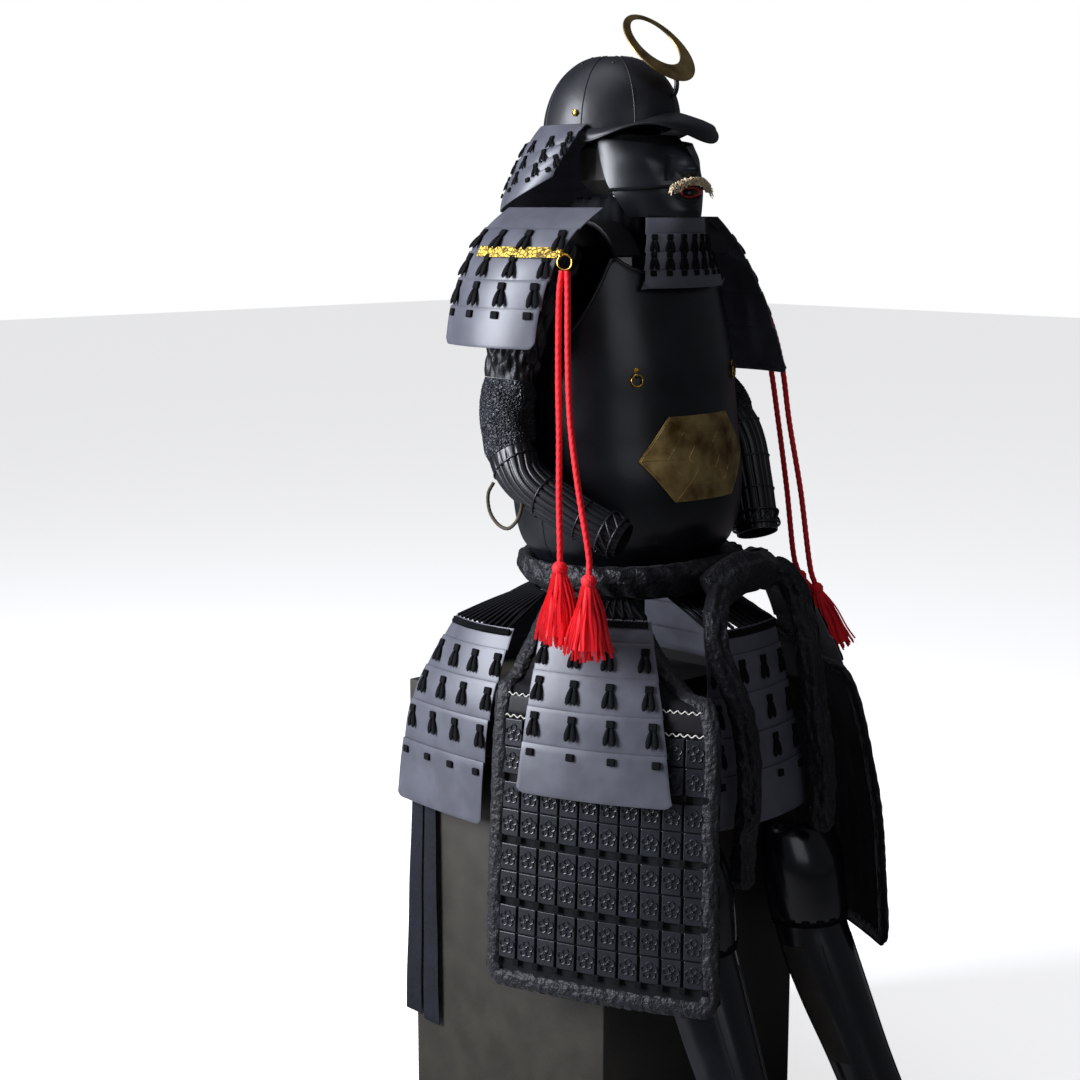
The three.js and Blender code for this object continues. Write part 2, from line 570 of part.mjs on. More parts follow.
// Red cords that hang from the rings, with their tassels
const CORD = { radius: 4.6, straight: 20 };
const CORDS = {
  right_front: { lean: at(0, 0, -1), path: [
    at(0, -5.3, -12), at(-2, -8, -40), at(-9, -16, -140), at(-14, -26, -220), at(-18, -46, -310),
    at(-17, -66, -404),
  ] },
  right_back: { lean: at(0, 0, -1), path: [
    at(0, 5.3, -12), at(-4, 6, -40), at(-12, 0, -150), at(-16, -6, -240), at(-20, -10, -330),
    at(-21, -13, -392),
  ] },
  left_front: { lean: at(0.32, -0.14, -0.94), path: [
    at(6.7, -5.3, -9.0), at(22, -8, -34), at(57, -12, -96), at(79, -16, -160), at(86, -28, -250),
    at(84, -56, -360),
    at(80, -84, -488),
  ] },
  left_back: { lean: at(0.32, -0.14, -0.94), path: [
    at(7, 5.3, -9.8), at(22, 8, -34), at(57, 10, -96), at(79, 8, -160), at(90, -2, -250),
    at(96, -18, -360),
    at(103, -32, -478),
  ] },
};
const TASSEL = { head: 11, headLength: 20, foot: 10, length: 118 };
const STRAND = { count: 15, root: 7.4, spread: 23, fine: 1.1, thick: 3.2 };
const UP = at(0, 1, 0);
for (const [name, cord] of Object.entries(CORDS)) {
  const eye = EYE[name.split('_')[0]];
  const axis = cord.lean.clone().normalize();
  const points = cord.path.map((p) => p.clone().add(eye));
  const end = points[points.length - 1].clone().addScaledVector(axis, CORD.straight);
  points.push(end);
  add(`cord_${name}`, rod(points, CORD.radius, 16, 8), ...RED);
  const top = end.clone().addScaledVector(axis, 2 * GAP);
  const hang = new THREE.Quaternion().setFromUnitVectors(at(0, 0, -1), axis);
  const parts = [new THREE.LatheGeometry([
    new THREE.Vector2(0, 0), new THREE.Vector2(6.5, 0), new THREE.Vector2(TASSEL.head, -9),
    new THREE.Vector2(TASSEL.foot, -TASSEL.headLength), new THREE.Vector2(0, -TASSEL.headLength),
  ], 10).rotateX(Math.PI / 2)];
  for (let i = 0; i < STRAND.count; i++) {
    const share = Math.sqrt((i + 0.5) / STRAND.count);
    const angle = i * Math.PI * (3 - Math.sqrt(5));
    const length = TASSEL.length * (1 - 0.1 * share - 0.05 * Math.sin(7 * i));
    const point = (r, z) => at(r * Math.cos(angle), r * Math.sin(angle), -z);
    const root = point(STRAND.root * share, TASSEL.headLength - 5);
    const tip = point(STRAND.spread * share, length);
    const strand = new THREE.CylinderGeometry(STRAND.fine, STRAND.thick, root.distanceTo(tip), 3);
    const along = new THREE.Quaternion().setFromUnitVectors(UP, root.clone().sub(tip).normalize());
    const middle = root.add(tip).multiplyScalar(0.5);
    parts.push(strand.rotateY(angle).applyQuaternion(along).translate(middle.x, middle.y, middle.z));
  }
  const tassel = join(...parts).applyQuaternion(hang).translate(top.x, top.y, top.z);
  tassel.computeVertexNormals();
  add(`tassel_${name}`, tassel, ...RED);
}

// Armoured sleeves: each is a tube that follows the arm, cut at the elbow into three pieces
const SLEEVE = {
  right: [
    { x: -150, y: 4, z: 1372, along: 36, across: 42 },
    { x: -188, y: 12, z: 1318, along: 38, across: 48 },
    { x: -208, y: 26, z: 1250, along: 36, across: 48 },
    { x: -219, y: 36, z: 1178, along: 33, across: 50 },
    { x: -230, y: 30, z: 1106, along: 34, across: 48 },
    { x: -233, y: -4, z: 1044, along: 31, across: 44 },
    { x: -213, y: -78, z: 998, along: 29, across: 38 },
    { x: -176.2, y: -154, z: 958, along: 26, across: 34 },
  ],
  left: [
    { x: 128, y: 6, z: 1350, along: 28, across: 38 }, { x: 166, y: 22, z: 1300, along: 26, across: 36 },
    { x: 196.7, y: 38, z: 1240, along: 20, across: 36 },
    { x: 213, y: 46, z: 1182, along: 25, across: 36 },
    { x: 230, y: 10, z: 1117, along: 34, across: 42 },
    { x: 236, y: -22, z: 1060, along: 35, across: 42 },
    { x: 230, y: -46, z: 1000, along: 34, across: 38 },
    { x: 212, y: -82, z: 914, along: 32, across: 34 },
  ],
};
const MAIL = [0x2a2c31, 0.5, 0.6];
const SLEEVE_PARTS = {
  upper: { from: 0.0, to: 0.4275, columns: 13, rows: 5, folds: 9, depth: 2.6, colour: BLACK_CLOTH },
  elbow: { from: 0.429, to: 0.6425, columns: 12, rows: 3, folds: 5, depth: 1.6, colour: MAIL },
  forearm: { from: 0.644, to: 1.0, columns: 16, rows: 4, folds: 8, depth: 2.4, colour: LACQUER },
};
for (const [side, rows] of Object.entries(SLEEVE)) {
  const middles = rows.map((row) => at(row.x, row.y, row.z));
  const curve = new THREE.CatmullRomCurve3(middles, false, 'centripetal');
  for (const [name, part] of Object.entries(SLEEVE_PARTS)) {
    const skin = (thickness) => (u, v) => {
      const t = mix(part.from, part.to, v);
      const centre = curve.getPoint(t);
      const tangent = curve.getTangent(t);
      const across = new THREE.Vector3().crossVectors(at(0.35, 0.94, 0), tangent).normalize();
      const along = new THREE.Vector3().crossVectors(tangent, across).normalize();
      const angle = 2 * Math.PI * u;
      const ease = Math.sin(Math.PI * Math.min(1, 3 * Math.min(v, 1 - v) + 0.25));
      const wave = 1 + Math.sin(part.folds * angle + 2 * Math.sin(5 * v));
      const fold = thickness ? 0 : part.depth * 0.5 * wave * ease;
      const a = column(rows, 'along', t) - thickness + fold;
      const b = column(rows, 'across', t) - thickness + fold;
      centre.addScaledVector(across, a * Math.cos(angle));
      return centre.addScaledVector(along, b * Math.sin(angle));
    };
    const tube = shell(skin(0), skin(CLOTH), part.columns, evenRows(part.rows), true);
    add(`sleeve_${name}_${side}`, tube, ...part.colour);
  }
}

// Cloth belt: a soft roll round the waist with a knot and two tails. It is thicker in front.
const BELT = { z: 885, half: 14, tall: 20.5, lift: 2.5, columns: 28, around: 8, ripple: 0.07, ahead: 0.9 };
function beltRoll(grow = 0) {
  const roll = (i, k) => {
    const angle = 2 * Math.PI * i / BELT.columns;
    const turn = 2 * Math.PI * k / BELT.around;
    const ripple = 1 + BELT.ripple * Math.sin(9 * angle + 2 * turn);
    const ahead = Math.max(0, Math.cos(angle)) ** 2;
    const thick = BELT.half * ripple * (1 + BELT.ahead * ahead);
    const z = BELT.z + (BELT.tall * ripple * (1 + 0.25 * ahead) + grow) * Math.sin(turn);
    return cuirassAt(angle, z, thick * (1 + Math.cos(turn)) + BELT.lift + grow * Math.cos(turn));
  };
  const points = [];
  const index = [];
  for (let i = 0; i < BELT.columns; i++) {
    for (let k = 0; k < BELT.around; k++) points.push(roll(i, k));
  }
  const id = (i, k) => (i % BELT.columns) * BELT.around + k % BELT.around;
  for (let i = 0; i < BELT.columns; i++) {
    for (let k = 0; k < BELT.around; k++) {
      index.push(id(i, k), id(i + 1, k), id(i + 1, k + 1), id(i, k), id(i + 1, k + 1), id(i, k + 1));
    }
  }
  return closedMesh(points, index);
}
add('belt', beltRoll(), ...BLACK_CLOTH);

const CLOTH_RODS = {
  belt_knot: { radius: 32, flat: 0.85, steps: 5, path: [
    at(-34, -196, 866), at(-4, -207, 888), at(36, -211, 896), at(84, -197, 888),
  ] },
  belt_tail_right: { radius: 18, flat: 0.7, steps: 15, path: [
    at(-24, -212, 872), at(-58, -232, 866), at(-86, -252, 848), at(-98, -266, 808), at(-90, -282, 760),
    at(-76, -294, 710),
    at(-72, -304, 650), at(-80, -314, 580), at(-96, -320, 520), at(-104, -324, 465),
  ] },
  belt_tail_left: { radius: 20, flat: 0.75, steps: 12, path: [
    at(72, -206, 892), at(100, -222, 884), at(113, -240, 852), at(112, -258, 810), at(104, -276, 740),
    at(104, -292, 660),
    at(104, -304, 580), at(98, -310, 500),
  ] },
};
function clothRod(cloth, grow = 0) {
  return solid(rod(cloth.path, cloth.radius + grow, cloth.steps, 7, cloth.flat));
}
add('belt_knot', geometryOf(clothRod(CLOTH_RODS.belt_knot).subtract(solid(beltRoll(GAP)))), ...BLACK_CLOTH);
for (const name of ['belt_tail_right', 'belt_tail_left']) {
  const knot = clothRod(CLOTH_RODS.belt_knot, 2 * GAP);
  const whole = clothRod(CLOTH_RODS[name]);
  const tail = whole.subtract(knot.translate(-GAP, 0, 0)).subtract(knot.translate(GAP, 0, 0));
  add(name, geometryOf(tail), ...BLACK_CLOTH);
}

// Tassets: five laced lames each, hung from the waist by a fan of cords
const TASSETS = {
  front: { turn: 0, rows: [
    { distance: 236, half: 80, bulge: 12, z: 820, x: 0, y: 0 },
    { distance: 268, half: 98, bulge: 16, z: 670, x: 0, y: 0 },
    { distance: 292, half: 112, bulge: 20, z: 538, x: 0, y: 0 },
  ] },
  front_right: { turn: -66, rows: [
    { distance: 246, half: 82, bulge: 12, z: 848, x: 14, y: -30 },
    { distance: 300, half: 102, bulge: 12, z: 724, x: 20, y: -46 },
    { distance: 322, half: 118, bulge: 11, z: 598, x: 22, y: -52 },
  ] },
  rear_right: { turn: -92, rows: [
    { distance: 210, half: 68, bulge: 12, z: 802, x: 0, y: 108 },
    { distance: 250, half: 92, bulge: 7, z: 670, x: 0, y: 136 },
    { distance: 252, half: 102, bulge: 4, z: 500, x: 0, y: 162 },
  ] },
  back: { turn: 180, rows: [
    { distance: 232, half: 80, bulge: 12, z: 802, x: 0, y: 0 },
    { distance: 286, half: 98, bulge: 6, z: 670, x: 0, y: 0 },
    { distance: 288, half: 112, bulge: 2, z: 520, x: 0, y: 0 },
  ] },
};
const LEFT_OUT = 14;             // how much further out the left tassets hang
for (const name of ['front', 'rear']) {
  const right = TASSETS[`${name}_right`];
  const rows = right.rows.map((row) => ({ ...row, x: LEFT_OUT - row.x }));
  TASSETS[`${name}_left`] = { turn: -right.turn, rows };
}
const TASSET_EDGES = [0, 0.17, 0.34, 0.52, 0.7, 1];
const FAN = { cords: 7, slot: 0.075, rail: 0.06, thick: 5, waistZ: 852, waistOut: 5, spread: 16 };
const FAN_CROWN = 0.012;         // how far the two rails bow outwards, as a share of the length
const FAN_CLEAR = 0.65;          // room above the tasset's top edge
// A fan is one flat comb of cords between two rails, bent from the waist to the top of its tasset
function fanGeometry(place) {
  const pitch = 1 / FAN.cords;
  const stops = [0];
  for (let i = 1; i < FAN.cords; i++) stops.push(i * pitch - FAN.slot / 2, i * pitch + FAN.slot / 2);
  stops.push(1);
  const point = (x, y) => new THREE.Vector2(x, y);
  const crown = (x) => FAN_CROWN * 4 * x * (1 - x) * (1 + 0.3 * x);
  const outline = new THREE.Shape([...stops.map((x) => point(x, -crown(x))),
    ...stops.slice().reverse().map((x) => point(x, 1 + crown(x)))]);
  for (let i = 1; i < stops.length - 1; i += 2) {
    const low = (x) => point(x, FAN.rail - crown(x));
    const high = (x) => point(x, 1 - FAN.rail + crown(x));
    const [from, to] = [stops[i], stops[i + 1]];
    outline.holes.push(new THREE.Path([low(from), high(from), high(to), low(to)]));
  }
  const geometry = new THREE.ExtrudeGeometry(outline, { depth: 1, bevelEnabled: false });
  const position = geometry.attributes.position;
  for (let i = 0; i < position.count; i++) {
    const p = place(position.getX(i), position.getY(i), position.getZ(i));
    position.setXYZ(i, p.x, p.y, p.z);
  }
  return geometryOf(solid(geometry));
}
for (const [name, tasset] of Object.entries(TASSETS)) {
  const turn = radians(tasset.turn);
  add(`tasset_${name}`, lamePanel(turn, tasset.rows, TASSET_EDGES, 6), ...LAME);
  const top = tasset.rows[0];
  const middle = panelPoint(turn, top, 0.5);
  const heading = Math.atan2(middle.x, -middle.y);
  const outward = at(Math.sin(heading), -Math.cos(heading), 0.6).normalize();
  const place = (u, v, w) => {
    const high = cuirassAt(heading + radians(mix(-FAN.spread, FAN.spread, u)), FAN.waistZ, FAN.waistOut);
    const low = panelPoint(turn, top, mix(0.06, 0.94, u), -PLATE);
    low.z += GAP + FAN_CLEAR;
    return high.lerp(low, v).addScaledVector(outward, w * FAN.thick);
  };
  add(`laces_${name}`, fanGeometry(place), ...BLACK_CLOTH);
}

// Thigh guards: padded panels that wrap the thighs, with a piped border
const THIGH = {
  right: [
    { distance: 148, half: 66, bulge: 16, z: WAIST - GAP, x: 0, y: 11 },
    { distance: 214, half: 100, bulge: 14, z: 796, x: 8, y: -16 },
    { distance: 258, half: 138, bulge: 11, z: 750, x: 18, y: -42 },
    { distance: 284, half: 170, bulge: 10, z: 722, x: 26, y: -62 },
    { distance: 303, half: 176, bulge: 12, z: 540, x: 28, y: -64 },
    { distance: 312, half: 179, bulge: 13, z: 420, x: 29, y: -66 },
    { distance: 320, half: 182, bulge: 14, z: 294, x: 30, y: -68 },
  ],
  left: [
    { distance: 148, half: 66, bulge: 16, z: WAIST - GAP, x: 0, y: 11 },
    { distance: 214, half: 100, bulge: 14, z: 796, x: -8, y: -16 },
    { distance: 256, half: 138, bulge: 11, z: 750, x: -18, y: -42 },
    { distance: 284, half: 166, bulge: 11, z: 716, x: -26, y: -62 },
    { distance: 330, half: 174, bulge: 13, z: 540, x: -28, y: -64 },
    { distance: 342, half: 179, bulge: 14, z: 420, x: -29, y: -66 },
    { distance: 350, half: 182, bulge: 14, z: 294, x: -30, y: -68 },
  ],
};
const PIPING = { width: 0.055, thick: 9, field: 4, hem: 0.035 };
const THIGH_TURN = 67.8;         // the direction a thigh guard faces, in degrees from the front
const CORNER = { rise: 26, from: 0.93, in: 0.9 };
for (const [side, rows] of Object.entries(THIGH)) {
  const turn = radians(side === 'right' ? -THIGH_TURN : THIGH_TURN);
  const edges = [0, 0.02, PIPING.width, 0.25, 0.42, 0.58, 0.75, 1 - PIPING.width, 0.98, 1];
  const downs = [0, 1 / 6, 1 / 3, 0.5, 2 / 3, 5 / 6, 0.965, 0.988, 1];
  const rise = (u, v) => {
    const edge = Math.min(u / PIPING.width, (1 - u) / PIPING.width, (1 - v) / PIPING.hem, 1);
    const round = Math.sqrt(Math.max(0, 1 - (2 * edge - 1) ** 2));
    return PIPING.field + (PIPING.thick - PIPING.field) * round;
  };
  const point = (u, v, out) => {
    const row = {};
    for (const name of Object.keys(rows[0])) row[name] = column(rows, name, v);
    const down = Math.max(0, v - CORNER.from) / (1 - CORNER.from);
    const side = Math.max(0, Math.abs(2 * u - 1) - CORNER.in) / (1 - CORNER.in);
    row.z += CORNER.rise * down * side;
    return panelPoint(turn, row, u, out);
  };
  const pick = (list, f) => list[Math.round(f * (list.length - 1))];
  const surface = (height) => (u, v) => {
    const across = pick(edges, u);
    const down = pick(downs, v);
    return point(across, down, height(across, down) - PIPING.thick);
  };
  const panel = shell(surface(rise), surface(() => -1.5), edges.length - 1, evenRows(downs.length - 1));
  add(`thigh_guard_${side}`, panel, ...BLACK_CLOTH);
}

// Shin guards with their knee plates: open at the back, leaning on the front of the box, feet forward
const LEG = [
  { z: 500, y: -206, half: 54, depth: 43, ridge: 0, out: 0 },
  { z: 484, y: -210, half: 68, depth: 57, ridge: 0, out: 0 },
  { z: 444, y: -218, half: 76, depth: 68, ridge: 0, out: 0 },
  { z: 395, y: -226, half: 74, depth: 70, ridge: 0, out: 0 },
  { z: 356, y: -234, half: 69, depth: 67, ridge: 0, out: 0 },
  { z: 350, y: -236, half: 65, depth: 62, ridge: 0, out: 0 },
  { z: 300, y: -256, half: 67, depth: 62, ridge: 2, out: 2 },
  { z: 230, y: -290, half: 64, depth: 58, ridge: 2.5, out: 6 },
  { z: 150, y: -332, half: 58, depth: 52, ridge: 2.5, out: 11 },
  { z: 60, y: -380, half: 56, depth: 50, ridge: 2.5, out: 16 },
  { z: 0, y: -410, half: 56, depth: 50, ridge: 2.5, out: 19 },
];
const LEGS = { right: { x: -92, y: 16 }, left: { x: 130, y: -20 } };
const LEG_WRAP = 97;
for (const [side, leg] of Object.entries(LEGS)) {
  const skin = (out) => (u, v) => {
    const row = LEG[Math.round(v * (LEG.length - 1))];
    const angle = radians(mix(-LEG_WRAP, LEG_WRAP, u));
    const more = row.ridge * Math.cos(3 * angle) + out;
    return at(leg.x + Math.sign(leg.x) * row.out + (row.half + more) * Math.sin(angle),
      row.y + leg.y - (row.depth + more) * Math.cos(angle), row.z);
  };
  add(`leg_guard_${side}`, shell(skin(0), skin(-PLATE), 10, evenRows(LEG.length - 1)), ...LACQUER);
}

// Ribbon that hangs down the side of the box
const RIBBON = { top: 620, low: 128, thick: 1.6, back: [248, 278], front: [200, 196] };
{
  const ribbon = (out) => (u, v) => {
    const bow = 2 * Math.sin(Math.PI * v) + 1.5 * Math.sin(9 * v) ** 2 * v;
    const y = mix(mix(...RIBBON.back, v), mix(...RIBBON.front, v), u);
    return at(-BOX.width / 2 - GAP - out - bow, y, mix(RIBBON.top, RIBBON.low, v));
  };
  add('side_ribbon', shell(ribbon(RIBBON.thick), ribbon(0), 3, evenRows(10)), ...BLACK_CLOTH);
}

// Thin cord that hangs in a loop at the right elbow
{
  const loop = [
    at(-252, 36, 1030), at(-257, 42, 1014), at(-258, 38, 988), at(-256, 22, 970), at(-254, 4, 966),
    at(-252, -12, 978),
    at(-252, -22, 996), at(-254, -26, 1008),
  ];
  add('elbow_loop', rod(loop, 2.4, 13, 8), 0x3a352b, 0.8, 0);
}

export default group;
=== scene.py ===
"""A laced samurai armour, set up on a wooden stand over its storage box. Sizes are in millimetres, and every
point is turned to metres where it goes into a mesh."""

import math
import random

import bpy
from mathutils import Matrix, Vector


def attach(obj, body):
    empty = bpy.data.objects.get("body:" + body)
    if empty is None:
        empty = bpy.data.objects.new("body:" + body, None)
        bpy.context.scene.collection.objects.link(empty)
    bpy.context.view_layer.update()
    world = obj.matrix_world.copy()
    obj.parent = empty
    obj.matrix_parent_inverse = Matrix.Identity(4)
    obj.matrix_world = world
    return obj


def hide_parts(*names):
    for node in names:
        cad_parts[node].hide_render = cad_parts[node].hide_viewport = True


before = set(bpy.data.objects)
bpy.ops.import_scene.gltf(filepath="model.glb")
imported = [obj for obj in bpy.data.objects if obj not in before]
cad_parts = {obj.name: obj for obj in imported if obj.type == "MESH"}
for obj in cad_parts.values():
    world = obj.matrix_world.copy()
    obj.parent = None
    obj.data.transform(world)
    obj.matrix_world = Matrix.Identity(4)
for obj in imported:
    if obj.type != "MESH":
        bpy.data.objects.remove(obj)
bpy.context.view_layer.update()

# The room: one tall window at the picture's left, a weak fill, and a pale floor under a white wall.
# The camera stands at the armour's right front corner, a little above its chest.
MM = 0.001
scene = bpy.context.scene
scene.view_settings.view_transform = "Standard"
lens = bpy.data.cameras.new("camera")
lens.lens = 63.33
camera = bpy.data.objects.new("camera", lens)
camera.location = (-2.1209, -1.9778, 1.429)
camera.rotation_euler = Vector((0.6875, 0.7051, -0.1736)).to_track_quat("-Z", "Y").to_euler()
scene.collection.objects.link(camera)
scene.camera = camera


def hex_colour(text):
    """An sRGB hex value as linear red, green, blue and one."""
    parts = [int(text[i:i + 2], 16) / 255 for i in (1, 3, 5)]
    return [p / 12.92 if p <= 0.04045 else ((p + 0.055) / 1.055) ** 2.4 for p in parts] + [1.0]


def add_node(tree, kind, settings=None, inputs=None):
    """Adds a node. An input that is a socket is linked, any other value is set."""
    made = tree.nodes.new(kind)
    for key, value in (settings or {}).items():
        setattr(made, key, value)
    for key, value in (inputs or {}).items():
        if isinstance(value, bpy.types.NodeSocket):
            tree.links.new(value, made.inputs[key])
        else:
            made.inputs[key].default_value = value
    return made


WINDOW_WHITE = "#f2f5ff"
for name, place, aim, size, power in [
    ("window", (-2.9, 1.5, 2.0), (-0.1, 0.0, 1.0), (1.5, 2.6), 285),
    ("fill", (-1.2, -3.6, 2.4), (0.0, 0.0, 1.0), (2.0, 2.0), 13),
    ("top", (-0.6, 0.3, 3.6), (0.0, 0.0, 1.0), (1.6, 1.6), 16),
]:
    lamp = bpy.data.lights.new(name, "AREA")
    lamp.shape = "RECTANGLE"
    lamp.size, lamp.size_y = size
    lamp.energy = power
    lamp.color = hex_colour(WINDOW_WHITE)[:3]
    holder = bpy.data.objects.new(name, lamp)
    holder.location = place
    holder.rotation_euler = (Vector(aim) - Vector(place)).to_track_quat("-Z", "Y").to_euler()
    scene.collection.objects.link(holder)

world = bpy.data.worlds.new("white wall")
scene.world = world
world.use_nodes = True
sky = world.node_tree
sky.nodes.clear()
seen = add_node(sky, "ShaderNodeBackground", inputs={"Color": (1, 1, 1, 1), "Strength": 1.0})
shed = add_node(sky, "ShaderNodeBackground", inputs={"Color": hex_colour("#dfe4f0"), "Strength": 0.1})
ray = add_node(sky, "ShaderNodeLightPath")
both = add_node(sky, "ShaderNodeMixShader", inputs={0: ray.outputs["Is Camera Ray"], 1: shed.outputs[0],
                                                    2: seen.outputs[0]})
add_node(sky, "ShaderNodeOutputWorld", inputs={"Surface": both.outputs[0]})

bpy.ops.object.select_all(action="DESELECT")
bpy.ops.mesh.primitive_plane_add(size=40)
floor = bpy.context.object
floor.name = "floor"
paint = bpy.data.materials.new("pale floor")
paint.use_nodes = True
sheet = paint.node_tree
shader = sheet.nodes["Principled BSDF"]
shader.inputs["Base Color"].default_value = hex_colour("#f4f4f4")
shader.inputs["Roughness"].default_value = 0.9
shader.inputs["Emission Color"].default_value = hex_colour("#ffffff")
shader.inputs["Emission Strength"].default_value = 0.72
# The paper floor shows nearly white, and throws only a little light back on the dark armour.
dim = add_node(sheet, "ShaderNodeBsdfDiffuse", inputs={"Color": hex_colour("#8c8c8c")})
direct = add_node(sheet, "ShaderNodeLightPath")
paper = add_node(sheet, "ShaderNodeMixShader", inputs={0: direct.outputs["Is Camera Ray"], 1: dim.outputs[0],
                                                       2: shader.outputs[0]})
sheet.links.new(paper.outputs[0], sheet.nodes["Material Output"].inputs["Surface"])
floor.data.materials.append(paint)


# Red cords: twisted three-strand silk, about 9 mm thick, tied to the ring of each shoulder guard. Each
# ends in a tassel of cut threads bound under a small turned head.
def mix(a, b, t):
    return a + (b - a) * t


def finish(name, base, roughness, metallic=0.0, bump=(), tint=None, sheen=0.0, coat=0.0, specular=0.5, uv=None):
    """A finish: base colour with a slow tint, roughness that varies, and layers of bump. Each layer is
    (texture kind, spacing in mm, height in mm). With uv the pattern follows the piece's own UV map,
    which measures uv millimetres across and down."""
    made = bpy.data.materials.new(name)
    made.use_nodes = True
    tree = made.node_tree
    principled = tree.nodes["Principled BSDF"]
    place = add_node(tree, "ShaderNodeTexCoord")
    where = place.outputs["UV" if uv else "Object"]
    if uv:
        where = add_node(tree, "ShaderNodeMapping", inputs={
            "Vector": where, "Scale": (uv[0] * MM, uv[1] * MM, 1)}).outputs[0]
    cloud = add_node(tree, "ShaderNodeTexNoise", inputs={"Vector": where, "Scale": 22, "Detail": 5})
    low, high = hex_colour(base), hex_colour(tint or base)
    ramp = add_node(tree, "ShaderNodeValToRGB", inputs={"Fac": cloud.outputs["Fac"]})
    ramp.color_ramp.elements[0].color = low
    ramp.color_ramp.elements[0].position = 0.38
    ramp.color_ramp.elements[1].color = high
    ramp.color_ramp.elements[1].position = 0.66
    tree.links.new(ramp.outputs[0], principled.inputs["Base Color"])
    rough = add_node(tree, "ShaderNodeMapRange", inputs={
        "Value": cloud.outputs["Fac"], "To Min": roughness * 0.82, "To Max": roughness * 1.22})
    tree.links.new(rough.outputs[0], principled.inputs["Roughness"])
    principled.inputs["Metallic"].default_value = metallic
    principled.inputs["Sheen Weight"].default_value = sheen
    principled.inputs["Coat Weight"].default_value = coat
    principled.inputs["Coat Roughness"].default_value = 0.12
    if not metallic:
        principled.inputs["Specular IOR Level"].default_value = specular
    normal = None
    for kind, spacing, height in bump:
        if kind == "noise":
            layer = add_node(tree, "ShaderNodeTexNoise", inputs={
                "Vector": where, "Scale": 1000 / spacing, "Detail": 3})
            value = layer.outputs["Fac"]
        elif kind == "cells":
            layer = add_node(tree, "ShaderNodeTexVoronoi", {"feature": "DISTANCE_TO_EDGE"}, {
                "Vector": where, "Scale": 1000 / spacing})
            value = layer.outputs["Distance"]
        else:
            layer = add_node(tree, "ShaderNodeTexWave", {"bands_direction": kind}, {
                "Vector": where, "Scale": 1000 / spacing / 3.18, "Distortion": 1.2, "Detail": 1})
            value = layer.outputs["Fac"]
        settings = {"Height": value, "Distance": height * MM, "Strength": 0.9}
        if normal:
            settings["Normal"] = normal
        normal = add_node(tree, "ShaderNodeBump", inputs=settings).outputs[0]
    if normal:
        tree.links.new(normal, principled.inputs["Normal"])
    return made


def face_outwards(piece, inside=None):
    """Turns the faces away from the point inside, or from the middle of a closed piece."""
    mesh = piece.data
    middle = Vector(inside) * MM if inside else sum((v.co for v in mesh.vertices), Vector()) / len(mesh.vertices)
    if sum((face.center - middle).dot(face.normal) * face.area for face in mesh.polygons) < 0:
        mesh.flip_normals()


def apply_modifier(piece, kind, **settings):
    modifier = piece.modifiers.new(kind.lower(), kind)
    for key, value in settings.items():
        setattr(modifier, key, value)
    bpy.context.view_layer.objects.active = piece
    bpy.ops.object.modifier_apply(modifier=modifier.name)


def edit(piece, *steps):
    """Runs edit-mode operators on the whole piece. Each step is (operator, settings)."""
    bpy.ops.object.select_all(action="DESELECT")
    piece.select_set(True)
    bpy.context.view_layer.objects.active = piece
    bpy.ops.object.mode_set(mode="EDIT")
    bpy.ops.mesh.select_all(action="SELECT")
    for operator, settings in steps:
        operator(**settings)
    bpy.ops.object.mode_set(mode="OBJECT")


def shaped(name, across, down, place, inside=None, wall=0.0, closed=False, edge=0.0, sharp=40):
    """A grid whose points go to place(u, v), in mm: u across and v down, each 0 to 1."""
    bpy.ops.object.select_all(action="DESELECT")
    bpy.ops.mesh.primitive_grid_add(x_subdivisions=across, y_subdivisions=down, size=1)
    piece = bpy.context.object
    piece.name = piece.data.name = name
    for point in piece.data.vertices:
        point.co = place(point.co.x + 0.5, 0.5 - point.co.y) * MM
    if closed:
        edit(piece, (bpy.ops.mesh.remove_doubles, {"threshold": 1e-6}))
    piece.data.update()
    face_outwards(piece, inside)
    if wall:
        apply_modifier(piece, "SOLIDIFY", thickness=wall * MM, offset=-1, use_even_offset=True)
    if edge:
        apply_modifier(piece, "BEVEL", width=edge * MM, segments=2, limit_method="ANGLE",
                       angle_limit=math.radians(55))
    bpy.ops.object.select_all(action="DESELECT")
    piece.select_set(True)
    bpy.ops.object.shade_smooth_by_angle(angle=math.radians(sharp))
    return piece


def joined(name, pieces):
    bpy.ops.object.select_all(action="DESELECT")
    for piece in pieces:
        piece.select_set(True)
    bpy.context.view_layer.objects.active = pieces[0]
    if len(pieces) > 1:
        bpy.ops.object.join()
    pieces[0].name = pieces[0].data.name = name
    return pieces[0]


def put_on(piece, material, body="armour", stands_for=()):
    piece.data.materials.clear()
    piece.data.materials.append(material)
    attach(piece, body)
    if stands_for:
        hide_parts(*stands_for)
    return piece


